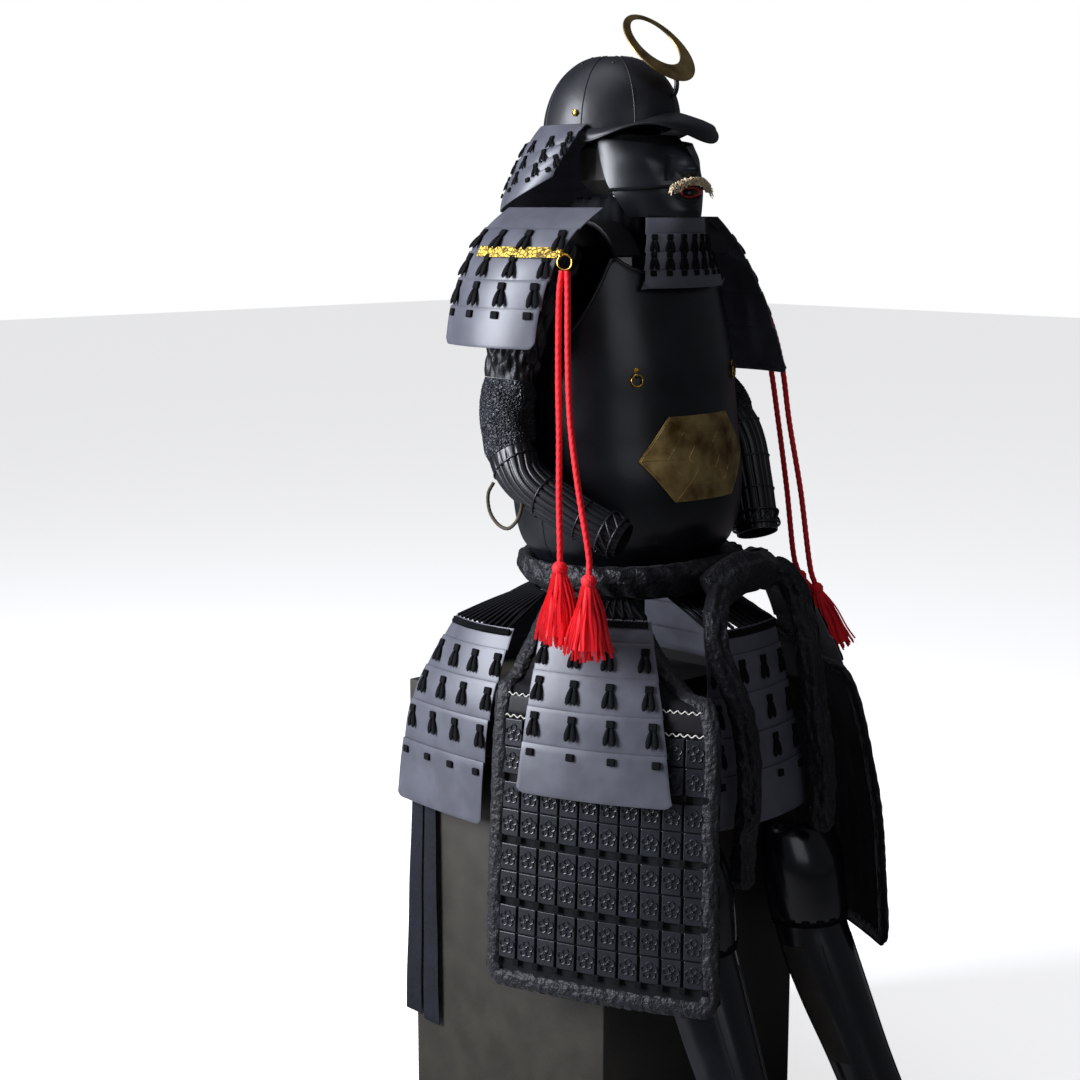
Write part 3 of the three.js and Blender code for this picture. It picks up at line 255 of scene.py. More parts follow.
def smooth_path(points, count):
    """Even steps along the smooth curve through the points, the same curve that the solids follow."""
    points = [Vector(p) for p in points]
    ends = [points[0] * 2 - points[1]] + points + [points[-1] * 2 - points[-2]]
    dense = []
    for i in range(len(points) - 1):
        a, b, c, d = ends[i:i + 4]
        ta = (b - a).length ** 0.5
        tb = max((c - b).length ** 0.5, 1e-6)
        tc = (d - c).length ** 0.5
        start = ((b - a) / ta - (c - a) / (ta + tb) + (c - b) / tb) * tb
        stop = ((c - b) / tb - (d - b) / (tb + tc) + (d - c) / tc) * tb
        for k in range(24):
            t = k / 24
            dense.append(b * (2 * t ** 3 - 3 * t ** 2 + 1) + c * (3 * t ** 2 - 2 * t ** 3)
                         + start * (t ** 3 - 2 * t ** 2 + t) + stop * (t ** 3 - t ** 2))
    dense.append(points[-1])
    lengths = [0.0]
    for a, b in zip(dense, dense[1:]):
        lengths.append(lengths[-1] + (b - a).length)
    found, k = [], 0
    for i in range(count + 1):
        want = lengths[-1] * i / count
        while k < len(lengths) - 2 and lengths[k + 1] < want:
            k += 1
        share = (want - lengths[k]) / max(lengths[k + 1] - lengths[k], 1e-9)
        found.append(dense[k].lerp(dense[k + 1], share))
    return found, lengths[-1]


def tube(name, points, around, along, radius):
    """A closed tube along a smooth path. radius(angle, t) gives the radius in mm."""
    path, _ = smooth_path(points, along)
    side = None
    frames = []
    for i, point in enumerate(path):
        ahead = (path[min(i + 1, along)] - path[max(i - 1, 0)]).normalized()
        if side is None:
            side = ahead.cross(Vector((0, 1, 0.2))).normalized()
        side = (side - ahead * side.dot(ahead)).normalized()
        frames.append((point, side, ahead.cross(side)))

    def place(u, v):
        row = v * (along + 2) - 1
        i = min(max(round(row), 0), along)
        point, right, up = frames[i]
        angle = 2 * math.pi * u
        reach = radius(angle, i / along) if -0.5 < row < along + 0.5 else 0.0
        return point + (right * math.cos(angle) + up * math.sin(angle)) * reach

    return shaped(name, around, along + 2, place, closed=True, sharp=60)


SILK = "#de0c1c"
red_silk = finish("twisted red silk", SILK, 0.62, bump=[("noise", 0.8, 0.15)], tint="#f01c28", sheen=0.08, specular=0.3)
EYE = {"right": Vector((-256.82, -114.60, 1351.65)), "left": Vector((206.02, -49.58, 1337.02))}
CORDS = {
    "right_front": ((0, 0, -1), [(0, -5.3, -12), (-2, -8, -40), (-9, -16, -140), (-14, -26, -220), (-18, -46, -310),
                                 (-17, -66, -404)]),
    "right_back": ((0, 0, -1), [(0, 5.3, -12), (-4, 6, -40), (-12, 0, -150), (-16, -6, -240), (-20, -10, -330),
                                (-21, -13, -392)]),
    "left_front": ((0.32, -0.14, -0.94), [(6.7, -5.3, -9.0), (22, -8, -34), (57, -12, -96), (79, -16, -160),
                                          (86, -28, -250), (84, -56, -360), (80, -84, -488)]),
    "left_back": ((0.32, -0.14, -0.94), [(7, 5.3, -9.8), (22, 8, -34), (57, 10, -96), (79, 8, -160),
                                         (90, -2, -250), (96, -18, -360), (103, -32, -478)]),
}
CORD_RADIUS = 4.6
TWIST = 11.0                      # length of one lay of the three strands
STRAIGHT = 20.0                   # the last stretch, in line with the tassel
random.seed(11)
for name, (lean, path) in CORDS.items():
    eye = EYE[name.split("_")[0]]
    axis = Vector(lean).normalized()
    points = [Vector(p) + eye for p in path]
    points.append(points[-1] + axis * STRAIGHT)
    _, length = smooth_path(points, 60)

    def rope(angle, t, length=length):
        lobe = abs(math.cos(1.5 * (angle - 2 * math.pi * t * length / (3 * TWIST))))
        return CORD_RADIUS * (0.78 + 0.22 * lobe ** 0.6)

    cord = tube(f"silk_cord_{name}", points, 18, int(length / 2.2), rope)
    put_on(cord, red_silk, stands_for=[f"cord_{name}"])

    top = points[-1] + axis * 0.6
    hang = Vector((0, 0, -1)).rotation_difference(axis).to_matrix()
    bpy.ops.object.select_all(action="DESELECT")
    bpy.ops.mesh.primitive_uv_sphere_add(segments=22, ring_count=14, radius=11 * MM)
    head = bpy.context.object
    for point in head.data.vertices:
        around = math.atan2(point.co.y, point.co.x)
        grow = 1 + 0.06 * math.cos(8 * around + point.co.z * 900)
        point.co = Vector((point.co.x * grow, point.co.y * grow, point.co.z * 0.95 - 10.5 * MM))
    skirt = shaped("skirt", 26, 8, lambda u, v: Vector((
        mix(8.6, 26, v) * math.cos(6.2832 * u) * (1 + 0.05 * math.sin(39 * u * 6.2832)),
        mix(8.6, 26, v) * math.sin(6.2832 * u) * (1 + 0.05 * math.cos(37 * u * 6.2832)),
        mix(-17, -104, v))), closed=True, wall=1.2)
    threads = [head, skirt]
    for i in range(58):
        share = math.sqrt((i + 0.5) / 58)
        angle = i * math.pi * (3 - math.sqrt(5))
        reach = 130 * (1 - 0.1 * share - 0.08 * random.random())
        sway = random.uniform(-4, 4)

        def thread(u, v, share=share, angle=angle, reach=reach, sway=sway):
            out = mix(8.8 * share, 37 * share, v ** 0.9) + 1.6 * math.sin(7 * v + angle)
            turn = angle + 0.05 * sway * v + 0.04 * math.sin(9 * v + 5 * angle)
            thick = 2.1 * (0.8 + 0.15 * v)
            middle = Vector((out * math.cos(turn), out * math.sin(turn), mix(-16, -reach, v)))
            spot = 2 * math.pi * u
            return middle + Vector((math.cos(spot), math.sin(spot), 0)) * thick

        threads.append(shaped("thread", 4, 9, thread, closed=True, sharp=80))
    tassel = joined(f"silk_tassel_{name}", threads)
    tassel.data.transform(Matrix.Translation(top * MM) @ hang.to_4x4())
    put_on(tassel, red_silk, stands_for=[f"tassel_{name}"])
    [tuple(p * MM) for p in smooth_path(points, 60)[0]]


# Storage box: boards under a dull brown-black lacquer, with a lid that caps the body. It carries the
# whole armour, and a plain post and bar of stained wood stand on its lid inside the armour.
box_lacquer = finish("brown-black lacquered boards", "#25221b", 0.55, bump=[("noise", 9, 0.25), ("noise", 1.2, 0.04)],
                     tint="#2e2a20")
stand_wood = finish("black-stained pine", "#15120f", 0.65, bump=[("X", 6, 0.1)], tint="#1d1814")
for name in ["box_body", "box_lid"]:
    bpy.ops.object.select_all(action="DESELECT")
    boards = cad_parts[name].copy()
    boards.data = boards.data.copy()
    scene.collection.objects.link(boards)
    boards.name = boards.data.name = f"lacquered_{name}"
    for key in list(boards.keys()):
        del boards[key]
    boards.parent = None
    edit(boards, (bpy.ops.mesh.remove_doubles, {"threshold": 1e-5}),
         (bpy.ops.mesh.dissolve_limited, {"angle_limit": 0.02}))
    apply_modifier(boards, "BEVEL", width=2.2 * MM, segments=3, limit_method="ANGLE", angle_limit=0.6)
    boards.select_set(True)
    bpy.ops.object.shade_smooth_by_angle(angle=0.6)
    put_on(boards, box_lacquer, stands_for=[name])
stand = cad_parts["stand"]
stand.data.materials.clear()
stand.data.materials.append(stand_wood)


# Cuirass: two smooth plates of satin black lacquer, closed at the sides, with turned rims. Leather
# straps run over the shoulders, and each breast has a brass ring on a staple.
def column(rows, index, t):
    """Reads one column of a table of rows at t, from 0 to 1, on a smooth curve through the rows."""
    place = min(max(t, 0), 1) * (len(rows) - 1)
    i = min(int(place), len(rows) - 2)
    f = place - i
    a, b, c, d = (rows[min(max(k, 0), len(rows) - 1)][index] for k in range(i - 1, i + 3))
    return b + 0.5 * f * (c - a + f * (2 * a - 5 * b + 4 * c - d + f * (3 * (b - c) + d - a)))


def at_height(rows, index, z):
    """Reads one column of a table whose first column is a rising height."""
    i = max(0, min(len(rows) - 2, next((k for k, row in enumerate(rows) if row[0] > z), len(rows)) - 1))

    def slope(k):
        low, high = rows[max(k - 1, 0)], rows[min(k + 1, len(rows) - 1)]
        return (high[index] - low[index]) / (high[0] - low[0])

    low, high = rows[i], rows[i + 1]
    step = high[0] - low[0]
    f = (z - low[0]) / step
    return ((1 + 2 * f) * (1 - f) ** 2 * low[index] + f * (1 - f) ** 2 * step * slope(i)
            + f * f * (3 - 2 * f) * high[index] - f * f * (1 - f) * step * slope(i + 1))


# height, half width, depth in front and behind
CUIRASS = [
    (850, 148, 120, 126), (897, 153, 124, 131), (928, 177, 142, 151), (968, 188, 155, 162), (1027, 193, 156, 166),
    (1086, 191, 146, 164), (1144, 186, 139, 160), (1203, 180, 134, 155), (1262, 172, 121, 146),
    (1321, 162, 106, 130), (1380, 152, 92, 108),
]
WAIST, ARMPIT = 850, 1225


def cuirass_at(angle, z, out=0.0):
    side = at_height(CUIRASS, 1, z) + out
    depth = at_height(CUIRASS, 2 if math.cos(angle) > 0 else 3, z) + out
    return Vector((side * math.sin(angle), -depth * math.cos(angle), z))


def rim_height(angle, neck, strap):
    a, s = abs(angle) / math.radians(90), 46 / 90
    if a < s:
        return mix(neck, strap, (a / s) ** 3)
    return mix(strap, ARMPIT, math.sin((a - s) / (1 - s) * math.pi / 2))


black_lacquer = finish("satin black lacquer", "#0c0e12", 0.3, bump=[("noise", 2.4, 0.012), ("noise", 60, 0.5)],
                       tint="#11141a")
HALF = math.radians(89.85)
for name, neck, strap, turn in [("front", 1328, 1356, 0.0), ("back", 1372, 1378, math.pi)]:
    def skin(u, v, out=0.0):
        angle = mix(-HALF, HALF, u)
        return cuirass_at(angle + turn, mix(rim_height(angle, neck, strap), WAIST, v), out)

    pieces = [shaped("skin", 72, 60, skin, inside=(0, 0, 1100), wall=2.5, edge=0.7)]
    rim = [skin(i / 48, 0, -0.6) for i in range(49)]
    pieces.append(tube("rim", rim, 10, 96, lambda angle, t: 2.8))
    if name == "front":
        for sign in (-1, 1):
            seat_angle = sign * math.radians(35.5)
            seat = cuirass_at(seat_angle, 1188)
            ahead = (cuirass_at(seat_angle + 0.01, 1188) - seat).normalized()
            out = Vector((ahead.y, -ahead.x, 0))
            bpy.ops.object.select_all(action="DESELECT")
            bpy.ops.mesh.primitive_torus_add(major_radius=4.6 * MM, minor_radius=1.1 * MM, major_segments=24,
                                             minor_segments=10)
            staple = bpy.context.object
            turned = Vector((0, 0, 1)).rotation_difference(ahead).to_matrix().to_4x4()
            staple.data.transform(Matrix.Translation((seat + out * 2.6) * MM) @ turned)
            pieces.append(staple)
    put_on(joined(f"lacquered_{name}_plate", pieces), black_lacquer,
           stands_for=[f"cuirass_{name}"])

brass = finish("polished brass", "#cda448", 0.24, metallic=1.0, bump=[("noise", 3, 0.03)], tint="#b98d35")
for side, sign in [("right", -1), ("left", 1)]:
    seat_angle = sign * math.radians(35.5)
    seat = cuirass_at(seat_angle, 1188)
    ahead = (cuirass_at(seat_angle + 0.01, 1188) - seat).normalized()
    out = Vector((ahead.y, -ahead.x, 0))
    middle = seat + out * (2.6 + 4.6 - 1.1 - 1.5 - 0.3) - Vector((0, 0, 8.5))
    turned = Vector((0, 0, 1)).rotation_difference(out).to_matrix().to_4x4()
    bpy.ops.object.select_all(action="DESELECT")
    bpy.ops.mesh.primitive_torus_add(major_radius=8.5 * MM, minor_radius=1.5 * MM, major_segments=40,
                                     minor_segments=12)
    hoop = bpy.context.object
    hoop.data.transform(Matrix.Translation(middle * MM) @ turned)
    bpy.ops.object.shade_smooth_by_angle(angle=1.0)
    hoop.name = f"brass_ring_{side}"
    put_on(hoop, brass, body=f"chest_ring_{side}", stands_for=[f"chest_ring_{side}"])
    bpy.ops.object.select_all(action="DESELECT")
    bpy.ops.mesh.primitive_uv_sphere_add(segments=20, ring_count=10, radius=4.4 * MM)
    rosette = bpy.context.object
    for point in rosette.data.vertices:
        petal = 1 + 0.14 * math.cos(8 * math.atan2(point.co.y, point.co.x))
        point.co = Vector((point.co.x * petal, point.co.y * petal, point.co.z * 0.4))
    rosette.data.transform(Matrix.Translation((seat + out * 0.8 + Vector((0, 0, 5.5))) * MM) @ turned)
    rosette.name = f"brass_rosette_{side}"
    put_on(rosette, brass)

STRAP_PATH = [(-88, 1357.5), (-74, 1382), (-50, 1401), (-24, 1408), (0, 1407.3), (24, 1408), (50, 1405), (76, 1398),
              (98, 1380)]
TIE_END = {"right": (201.4, 1417), "left": (132.4, 1405)}
leather = finish("black leather", "#08080a", 0.5, bump=[("cells", 1.6, 0.06), ("noise", 12, 0.3)], tint="#0d0d10",
                 specular=0.3)
for side, sign in [("right", -1), ("left", 1)]:
    def strap(u, v):
        return Vector((sign * 100 + 52 * (u - 0.5), column(STRAP_PATH, 0, v), column(STRAP_PATH, 1, v)))

    def tie(u, v):
        x, z = TIE_END[side]
        return Vector((sign * mix(120, x, u), mix(-17, 17, v), mix(1404, z, u) + 3))

    pieces = [shaped("strap", 10, 40, strap, inside=(sign * 100, 0, 1320), wall=7, edge=1.4),
              shaped("tie", 10, 6, tie, inside=(sign * 150, 0, 1300), wall=3, edge=0.7)]
    put_on(joined(f"leather_strap_{side}", pieces), leather, stands_for=[f"shoulder_strap_{side}"])


# Gold plate: a worn gilded hexagon on the breast, cut with the lines of a tortoiseshell. It lies on the
# lacquer, held by its rim.
gold = finish("worn bronze gilding", "#c6aa70", 0.46, metallic=1.0, bump=[("noise", 14, 0.25), ("noise", 1.5, 0.03)],
              tint="#6c522b")
PLATE_Z, PLATE_HALF, PLATE_TALL, PLATE_SHOULDER = 1063, 112, 62, 62


def plate_point(x, z, out):
    return cuirass_at(math.asin(x / at_height(CUIRASS, 1, z)), z, out)


def hexagon(u, v, out):
    x = (2 * u - 1) * PLATE_HALF
    slope = min(1, (PLATE_HALF - abs(x)) / (PLATE_HALF - PLATE_SHOULDER) + 0.02)
    return plate_point(x, PLATE_Z - (2 * v - 1) * PLATE_TALL * slope, out)


pieces = [shaped("leaf", 45, 24, lambda u, v: hexagon(u, v, 3.2), inside=(0, 0, 1063), wall=1.2, edge=0.3)]
for share in (0.97, 0.62, 0.3):
    corners = [(-1, 0), (-PLATE_SHOULDER / PLATE_HALF, 1), (PLATE_SHOULDER / PLATE_HALF, 1), (1, 0),
               (PLATE_SHOULDER / PLATE_HALF, -1), (-PLATE_SHOULDER / PLATE_HALF, -1), (-1, 0)]
    for (ax, az), (bx, bz) in zip(corners, corners[1:]):
        line = [plate_point(mix(ax, bx, t / 6) * PLATE_HALF * share, PLATE_Z + mix(az, bz, t / 6) * PLATE_TALL * share,
                            3.2) for t in range(7)]
        pieces.append(tube("line", line, 6, 14, lambda angle, t: 0.9))
        if share > 0.5:
            inner = 0.62 if share > 0.9 else 0.3
            line = [plate_point(ax * PLATE_HALF * mix(share, inner, t / 4), PLATE_Z + az * PLATE_TALL
                                * mix(share, inner, t / 4), 3.2) for t in range(5)]
            pieces.append(tube("line", line, 6, 8, lambda angle, t: 0.9))
put_on(joined("gilded_hexagon", pieces), gold, stands_for=["gold_plate"])


# Helmet: a hammered bowl under matte black lacquer, with raised seams, a brass rivet at each temple and a
# brim that curves down like a beak. It sits on the stand's head block, turned a little to its left.
HELMET_RIM, HELMET_TOP, HELMET_SIDE, HELMET_LONG, HELMET_BROW = 1536, 1648, 97, 105, 26
HELMET_TURN = Matrix.Translation((0, 43, 0)) @ Matrix.Rotation(math.radians(16), 4, "Z")
HELMET_MIDDLE = (0, 43, 1550)


def bowl_at(angle, v, out=0.0):
    lift = v * math.pi / 2
    flat, rise = max(math.cos(lift), 0) ** 0.82, math.sin(lift) ** 1.05
    rim = HELMET_RIM + HELMET_BROW * max(0, math.cos(angle)) ** 3
    return HELMET_TURN @ Vector(((HELMET_SIDE + out) * flat * math.sin(angle),
                                 -(HELMET_LONG + out) * flat * math.cos(angle),
                                 mix(rim, HELMET_TOP + out, rise)))


helmet_lacquer = finish("matte black lacquer on iron", "#0f1115", 0.42, bump=[("noise", 1.6, 0.03), ("noise", 26, 0.5)],
                        tint="#16181d")
pieces = [shaped("bowl", 80, 36, lambda u, v: bowl_at(2 * math.pi * u, 1 - v), inside=HELMET_MIDDLE, wall=2.5,
                 closed=True)]
for seam in range(8):
    angle = math.radians(45 * seam)
    line = [bowl_at(angle, t / 14, 0.1) for t in range(14)]
    pieces.append(tube("seam", line, 8, 40, lambda angle, t: 1.0))
rim_line = [bowl_at(math.radians(10 * k), 0, 0.2) for k in range(9, 28)]
pieces.append(tube("rim", rim_line, 10, 72, lambda angle, t: 2.4))
for turn, lift in [(20, 0.86), (-35, 0.86), (-90, 0.86), (-145, 0.86), (160, 0.86), (90, 0.86), (-62, 0.7), (-118, 0.7),
                   (62, 0.7), (118, 0.7)]:
    bpy.ops.object.select_all(action="DESELECT")
    bpy.ops.mesh.primitive_uv_sphere_add(segments=14, ring_count=8, radius=2.6 * MM)
    rivet = bpy.context.object
    rivet.data.transform(Matrix.Translation(bowl_at(math.radians(turn), lift, 0.2) * MM) @ Matrix.Scale(0.7, 4))
    pieces.append(rivet)
put_on(joined("lacquered_bowl", pieces), helmet_lacquer, stands_for=["helmet_bowl"])

BRIM = [(0, 0, 0), (20, 6, 4), (39, 14, 11), (53, 26, 20), (57, 46, 34)]      # out, drop, arch


def brim_at(u, v, lift=0.0):
    angle = math.radians(mix(-84, 84, u))
    rim = HELMET_RIM + HELMET_BROW * max(0, math.cos(angle)) ** 3
    front = max(0, math.cos(angle)) ** 0.9
    out = 1.8 + column(BRIM, 0, v) * mix(0.08, 1, front)
    arch = column(BRIM, 2, v) * math.sin(2 * min(abs(angle), math.pi / 2)) ** 2
    return HELMET_TURN @ Vector(((HELMET_SIDE + out) * math.sin(angle), -(HELMET_LONG + out) * math.cos(angle),
                                 rim + 3 - column(BRIM, 1, v) * mix(0.35, 1, front) + arch + lift))


lip = [brim_at(k / 40, 1, 0.4) for k in range(41)]
pieces = [shaped("brim", 72, 24, brim_at, inside=(0, 30, 1440), wall=2.5, edge=0.6),
          tube("lip", lip, 10, 110, lambda angle, t: 1.9)]
put_on(joined("lacquered_brim", pieces), helmet_lacquer, stands_for=["helmet_brim"])

for name, turn in [("right", -96), ("left", 96)]:
    bpy.ops.object.select_all(action="DESELECT")
    bpy.ops.mesh.primitive_uv_sphere_add(segments=20, ring_count=12, radius=5.2 * MM)
    rivet = bpy.context.object
    for point in rivet.data.vertices:
        petal = 1 + 0.12 * math.cos(6 * math.atan2(point.co.z, point.co.y))
        point.co = Vector((point.co.x * 0.55, point.co.y * petal, point.co.z * petal))
    rivet.data.transform(Matrix.Translation(bowl_at(math.radians(turn), 0.16, 1.6) * MM))
    rivet.name = f"temple_rivet_{name}"
    put_on(rivet, brass)


# Laced lames: curved iron strips under black gloss lacquer, each hung over the one above it. Their
# lacquer has a mid grey base colour, painted light that stands in for the window's light on black lacquer.
# Black flat braid holds them: a small square knot with two legs that spread below it.
# Painted light: the grey base and tint are black lacquer coloured as if lit by the window.
lame_lacquer_painted_lit = finish("black lacquer on iron, painted lit grey", "#4b4c54", 0.4, bump=[("noise", 3, 0.02), ("noise", 45, 0.5)],
                      tint="#565760")
braid = finish("black flat silk braid", "#060709", 0.85, bump=[("noise", 1.1, 0.4)], tint="#0a0b0e", specular=0.15)
STEP = 3.2


def panel_at(turn, rows, u, v, out=0.0):
    """A point on a hanging panel. A row gives distance, half width, bulge, height, and shifts in x and y."""
    distance, half, bulge, z, x, y = (column(rows, k, v) for k in range(6))
    s = 2 * u - 1
    reach = distance + out - bulge * s * s
    return Vector((reach * math.sin(turn) + s * half * math.cos(turn) + x,
                   -reach * math.cos(turn) + s * half * math.sin(turn) + y, z))


def lames(surface, edges, inside, corner=0.0, columns=44):
    """The strips between the edges. surface(u, v, out) is the panel that they follow."""
    made = []
    for i, (top, bottom) in enumerate(zip(edges, edges[1:])):
        def strip(u, w):
            out = (STEP * (1 - w) if i else 0) + 0.8 * math.sin(math.pi * w)
            point = surface(u, mix(top - (0.012 if i else 0), bottom, w), out)
            if corner and i == len(edges) - 2:
                point.z += corner * max(0, w - 0.7) / 0.3 * (max(0, abs(2 * u - 1) - 0.9) / 0.1) ** 2
            return point

        made.append(shaped("lame", columns, 8, strip, inside=inside, wall=2.2, edge=0.6))
    return made


def seat_on(surface, u, v, out, inside):
    """The place and turn of a small piece that lies on a surface: x across, y up and z out."""
    here = surface(u, v, out)
    across = (surface(min(u + 0.01, 1), v, out) - surface(max(u - 0.01, 0), v, out)).normalized()
    up = (surface(u, max(v - 0.01, 0), out) - surface(u, min(v + 0.01, 1), out)).normalized()
    face = across.cross(up).normalized()
    if face.dot(here - Vector(inside)) < 0:
        across, face = -across, -face
    up = face.cross(across).normalized()
    turned = Matrix((across, up, face)).transposed().to_4x4()
    return Matrix.Translation(here * MM) @ turned


def knot_model(legs=True, wide=12.5, tall=11, length=27):
    """The black knot of one lace: a soft square, and two legs that spread below it."""
    bpy.ops.object.select_all(action="DESELECT")
    bpy.ops.mesh.primitive_cube_add(size=1)
    square = bpy.context.object
    square.data.transform(Matrix.Diagonal((wide * MM, tall * MM, 4.6 * MM, 1)))
    apply_modifier(square, "BEVEL", width=1.8 * MM, segments=2)
    made = [square]
    for sign in (-1, 1) if legs else ():
        bpy.ops.object.select_all(action="DESELECT")
        bpy.ops.mesh.primitive_uv_sphere_add(segments=10, ring_count=8, radius=1)
        leg = bpy.context.object
        for point in leg.data.vertices:
            point.co.x *= 1 - 0.34 * point.co.y
        leg.data.transform(Matrix.Diagonal((4.4 * MM, length * 0.52 * MM, 2.8 * MM, 1)))
        leg.data.transform(Matrix.Rotation(sign * 0.13, 4, "Z"))
        leg.data.transform(Matrix.Translation((sign * 4.6 * MM, -(tall / 2 + length * 0.44) * MM, 0)))
        made.append(leg)
    return joined("knot", made)


def copies(model, places):
    made = []
    for place in places:
        copy = model.copy()
        copy.data = model.data.copy()
        copy.data.transform(place)
        scene.collection.objects.link(copy)
        made.append(copy)
    return made


knot_with_legs = knot_model()
knot_alone = knot_model(legs=False)


def lace(name, surface, edges, across, inside, body="armour", small=1.0, stands_for=()):
    """The knots of one laced panel: on every seam between two lames, with legs but for the last."""
    places, last = [], []
    for i, seam in enumerate(edges[1:-1]):
        for u in across:
            target = last if i == len(edges) - 3 else places
            target.append(seat_on(surface, u, seam + 0.03, STEP + 1.4, inside) @ Matrix.Scale(small, 4))
    made = copies(knot_with_legs, places) + copies(knot_alone, last)
    return put_on(joined(name, made), braid, body, stands_for)


# Neck guard: five lames round the back of the helmet, their front ends drawn up to the temples.
NECK_ROWS = [(0.9, 1546, 96), (25, 1520, 94), (42, 1495, 92), (56, 1470, 89), (69, 1445, 86), (80, 1418, 83)]


def neck_at(u, v, out=0.0):
    reach, z, sweep = (column(NECK_ROWS, k, v) for k in range(3))
    turn = math.radians(mix(-sweep, sweep, u))
    edge = max(0, abs(2 * u - 1) - 0.35) / 0.65
    far = reach * mix(1, 0.7, math.cos(turn) ** 2) * (1 - 0.4 * edge ** 2) + out + 2.5
    return HELMET_TURN @ Vector((-(HELMET_SIDE + far) * math.sin(turn), (HELMET_LONG + far) * math.cos(turn),
                                 z + 52 * edge ** 1.7 * reach / 80))


NECK_EDGES = [0, 0.2, 0.4, 0.6, 0.8, 1]
put_on(joined("neck_lames", lames(neck_at, NECK_EDGES, HELMET_MIDDLE, columns=64)), lame_lacquer_painted_lit,
       stands_for=["neck_guard"])
lace("neck_laces", neck_at, NECK_EDGES, [0.03, 0.1, 0.19, 0.28, 0.37, 0.46, 0.54, 0.63, 0.72, 0.81, 0.9, 0.97],
     HELMET_MIDDLE, small=0.62)


# Crest: one flat ring of gilded copper, its hole cut off centre, on a short black hook at the brow.
def crest_at(u, v):
    angle = 2 * math.pi * u
    outer = Vector((66 * math.cos(angle), 66 * math.sin(angle), 0))
    inner = Vector((45.5 * math.cos(angle), 45.5 * math.sin(angle) + 11.5, 0))
    return outer.lerp(inner, v)


crest = shaped("gilded_crest", 96, 6, crest_at, closed=True)
apply_modifier(crest, "SOLIDIFY", thickness=2 * MM, offset=0)
apply_modifier(crest, "BEVEL", width=0.5 * MM, segments=2, limit_method="ANGLE", angle_limit=0.9)
crest.data.transform(Matrix.Scale(MM, 4) @ HELMET_TURN @ Matrix.Translation((0, -116, 1609))
                     @ Matrix.Rotation(math.radians(-13), 4, "Z") @ Matrix.Rotation(math.radians(49), 4, "X")
                     @ Matrix.Translation((0, 66, 0)) @ Matrix.Scale(1 / MM, 4))
put_on(crest, gold, stands_for=["crest_ring"])
hook_path = [HELMET_TURN @ Vector(p) for p in [(0, -102.5, 1588), (0, -106.6, 1596), (0, -108, 1607),
                                               (0, -106.6, 1612.8)]]
hook = tube("crest_horn", hook_path, 14, 16, lambda angle, t: mix(4.2, 3.4, t))
put_on(hook, black_lacquer, stands_for=["crest_hook"])


# Half mask: iron under satin black lacquer from the cheekbones to the chin, plain and calm. It has a
# short nose, a red lip round the open mouth and a cream moustache of stiff hair.
MASK = [(1526, 87, 92, 10), (1508, 87, 100, 18), (1490, 87, 108, 22), (1472, 87, 116, 5), (1454, 87, 119, 0),
        (1436, 84, 120, 0), (1412, 74, 122, 0)]
MOUTH_Z = 1447


def mask_at(u, v, out=0.0):
    half = mix(84, 62, v * v)
    angle = math.radians(mix(-half, half, u))
    cheek = abs(2 * u - 1)
    z = column(MASK, 0, v) + (1 - v) * (14 * cheek - 14)
    nose = column(MASK, 3, v) * math.exp(-((angle / 0.2) ** 2))
    wing = 4 * math.exp(-(((abs(angle) - 0.17) / 0.07) ** 2) - ((z - 1482) / 8) ** 2)
    fold = -2.5 * math.exp(-(((abs(angle) - 0.36 - (1482 - z) * 0.004) / 0.05) ** 2)) * (1465 < z < 1500)
    bone = 4 * math.exp(-(((abs(angle) - 0.75) / 0.3) ** 2) - ((z - 1496) / 16) ** 2)
    mouth = math.exp(-((angle / 0.2) ** 4) - ((z - MOUTH_Z) / 7) ** 4)
    lips = 3 * math.exp(-((math.hypot(angle / 0.25, (z - MOUTH_Z) / 11) - 1) / 0.3) ** 2)
    chin = 4 * math.exp(-((angle / 0.3) ** 2) - ((z - 1422) / 9) ** 2)
    reach = out + wing + fold + bone + lips + chin - 15 * mouth
    return Vector(((column(MASK, 1, v) + reach) * math.sin(angle),
                   -(column(MASK, 2, v) + nose + reach) * math.cos(angle), z))


face = shaped("lacquered_mask", 110, 90, mask_at, inside=(0, 10, 1470), wall=2.2, edge=0.6)
put_on(face, black_lacquer, stands_for=["mask"])
lip_paint = finish("red lacquer", "#8d1f1c", 0.35, bump=[("noise", 3, 0.04)], tint="#a52c22")
lip_line = []
for k in range(33):
    angle = 2 * math.pi * k / 32
    side = 0.24 * math.cos(angle)
    z = MOUTH_Z + 9 * math.sin(angle)
    v = (1526 - z) / 114
    lip_line.append(mask_at(0.5 + side / (2 * math.radians(mix(84, 62, v * v))), v, 0.4))
put_on(tube("painted_lip", lip_line, 10, 90, lambda angle, t: 2.6), lip_paint)
hair = finish("cream boar hair", "#e4d2b2", 0.7, bump=[("noise", 0.9, 0.1)], tint="#cdb891", sheen=0.2)
strands = []
for i in range(260):
    sign = -1 if i % 2 else 1
    share = random.random()
    start_angle = sign * mix(0.0, 0.44, share)
    spread = sign * mix(3, 9, random.random()) * (0.4 + share)
    droop = mix(2, 9, random.random()) * (0.5 + share)
    root = Vector((84 * 1.08 * math.sin(start_angle), -124 * math.cos(start_angle), 1464 - 11 * share ** 2
                   + random.uniform(-5.5, 5)))

    def whisker(u, v, root=root, spread=spread, droop=droop, sign=sign):
        spot = 2 * math.pi * u
        point = root + Vector((spread * v, -5.5 * math.sin(1.6 * v), 1.5 * v - droop * v * v))
        return point + Vector((0, math.cos(spot), math.sin(spot))) * 1.5 * (1 - 0.6 * v)

    strands.append(shaped("whisker", 4, 6, whisker, closed=True, sharp=80))
put_on(joined("hair_moustache", strands), hair, stands_for=["moustache"])
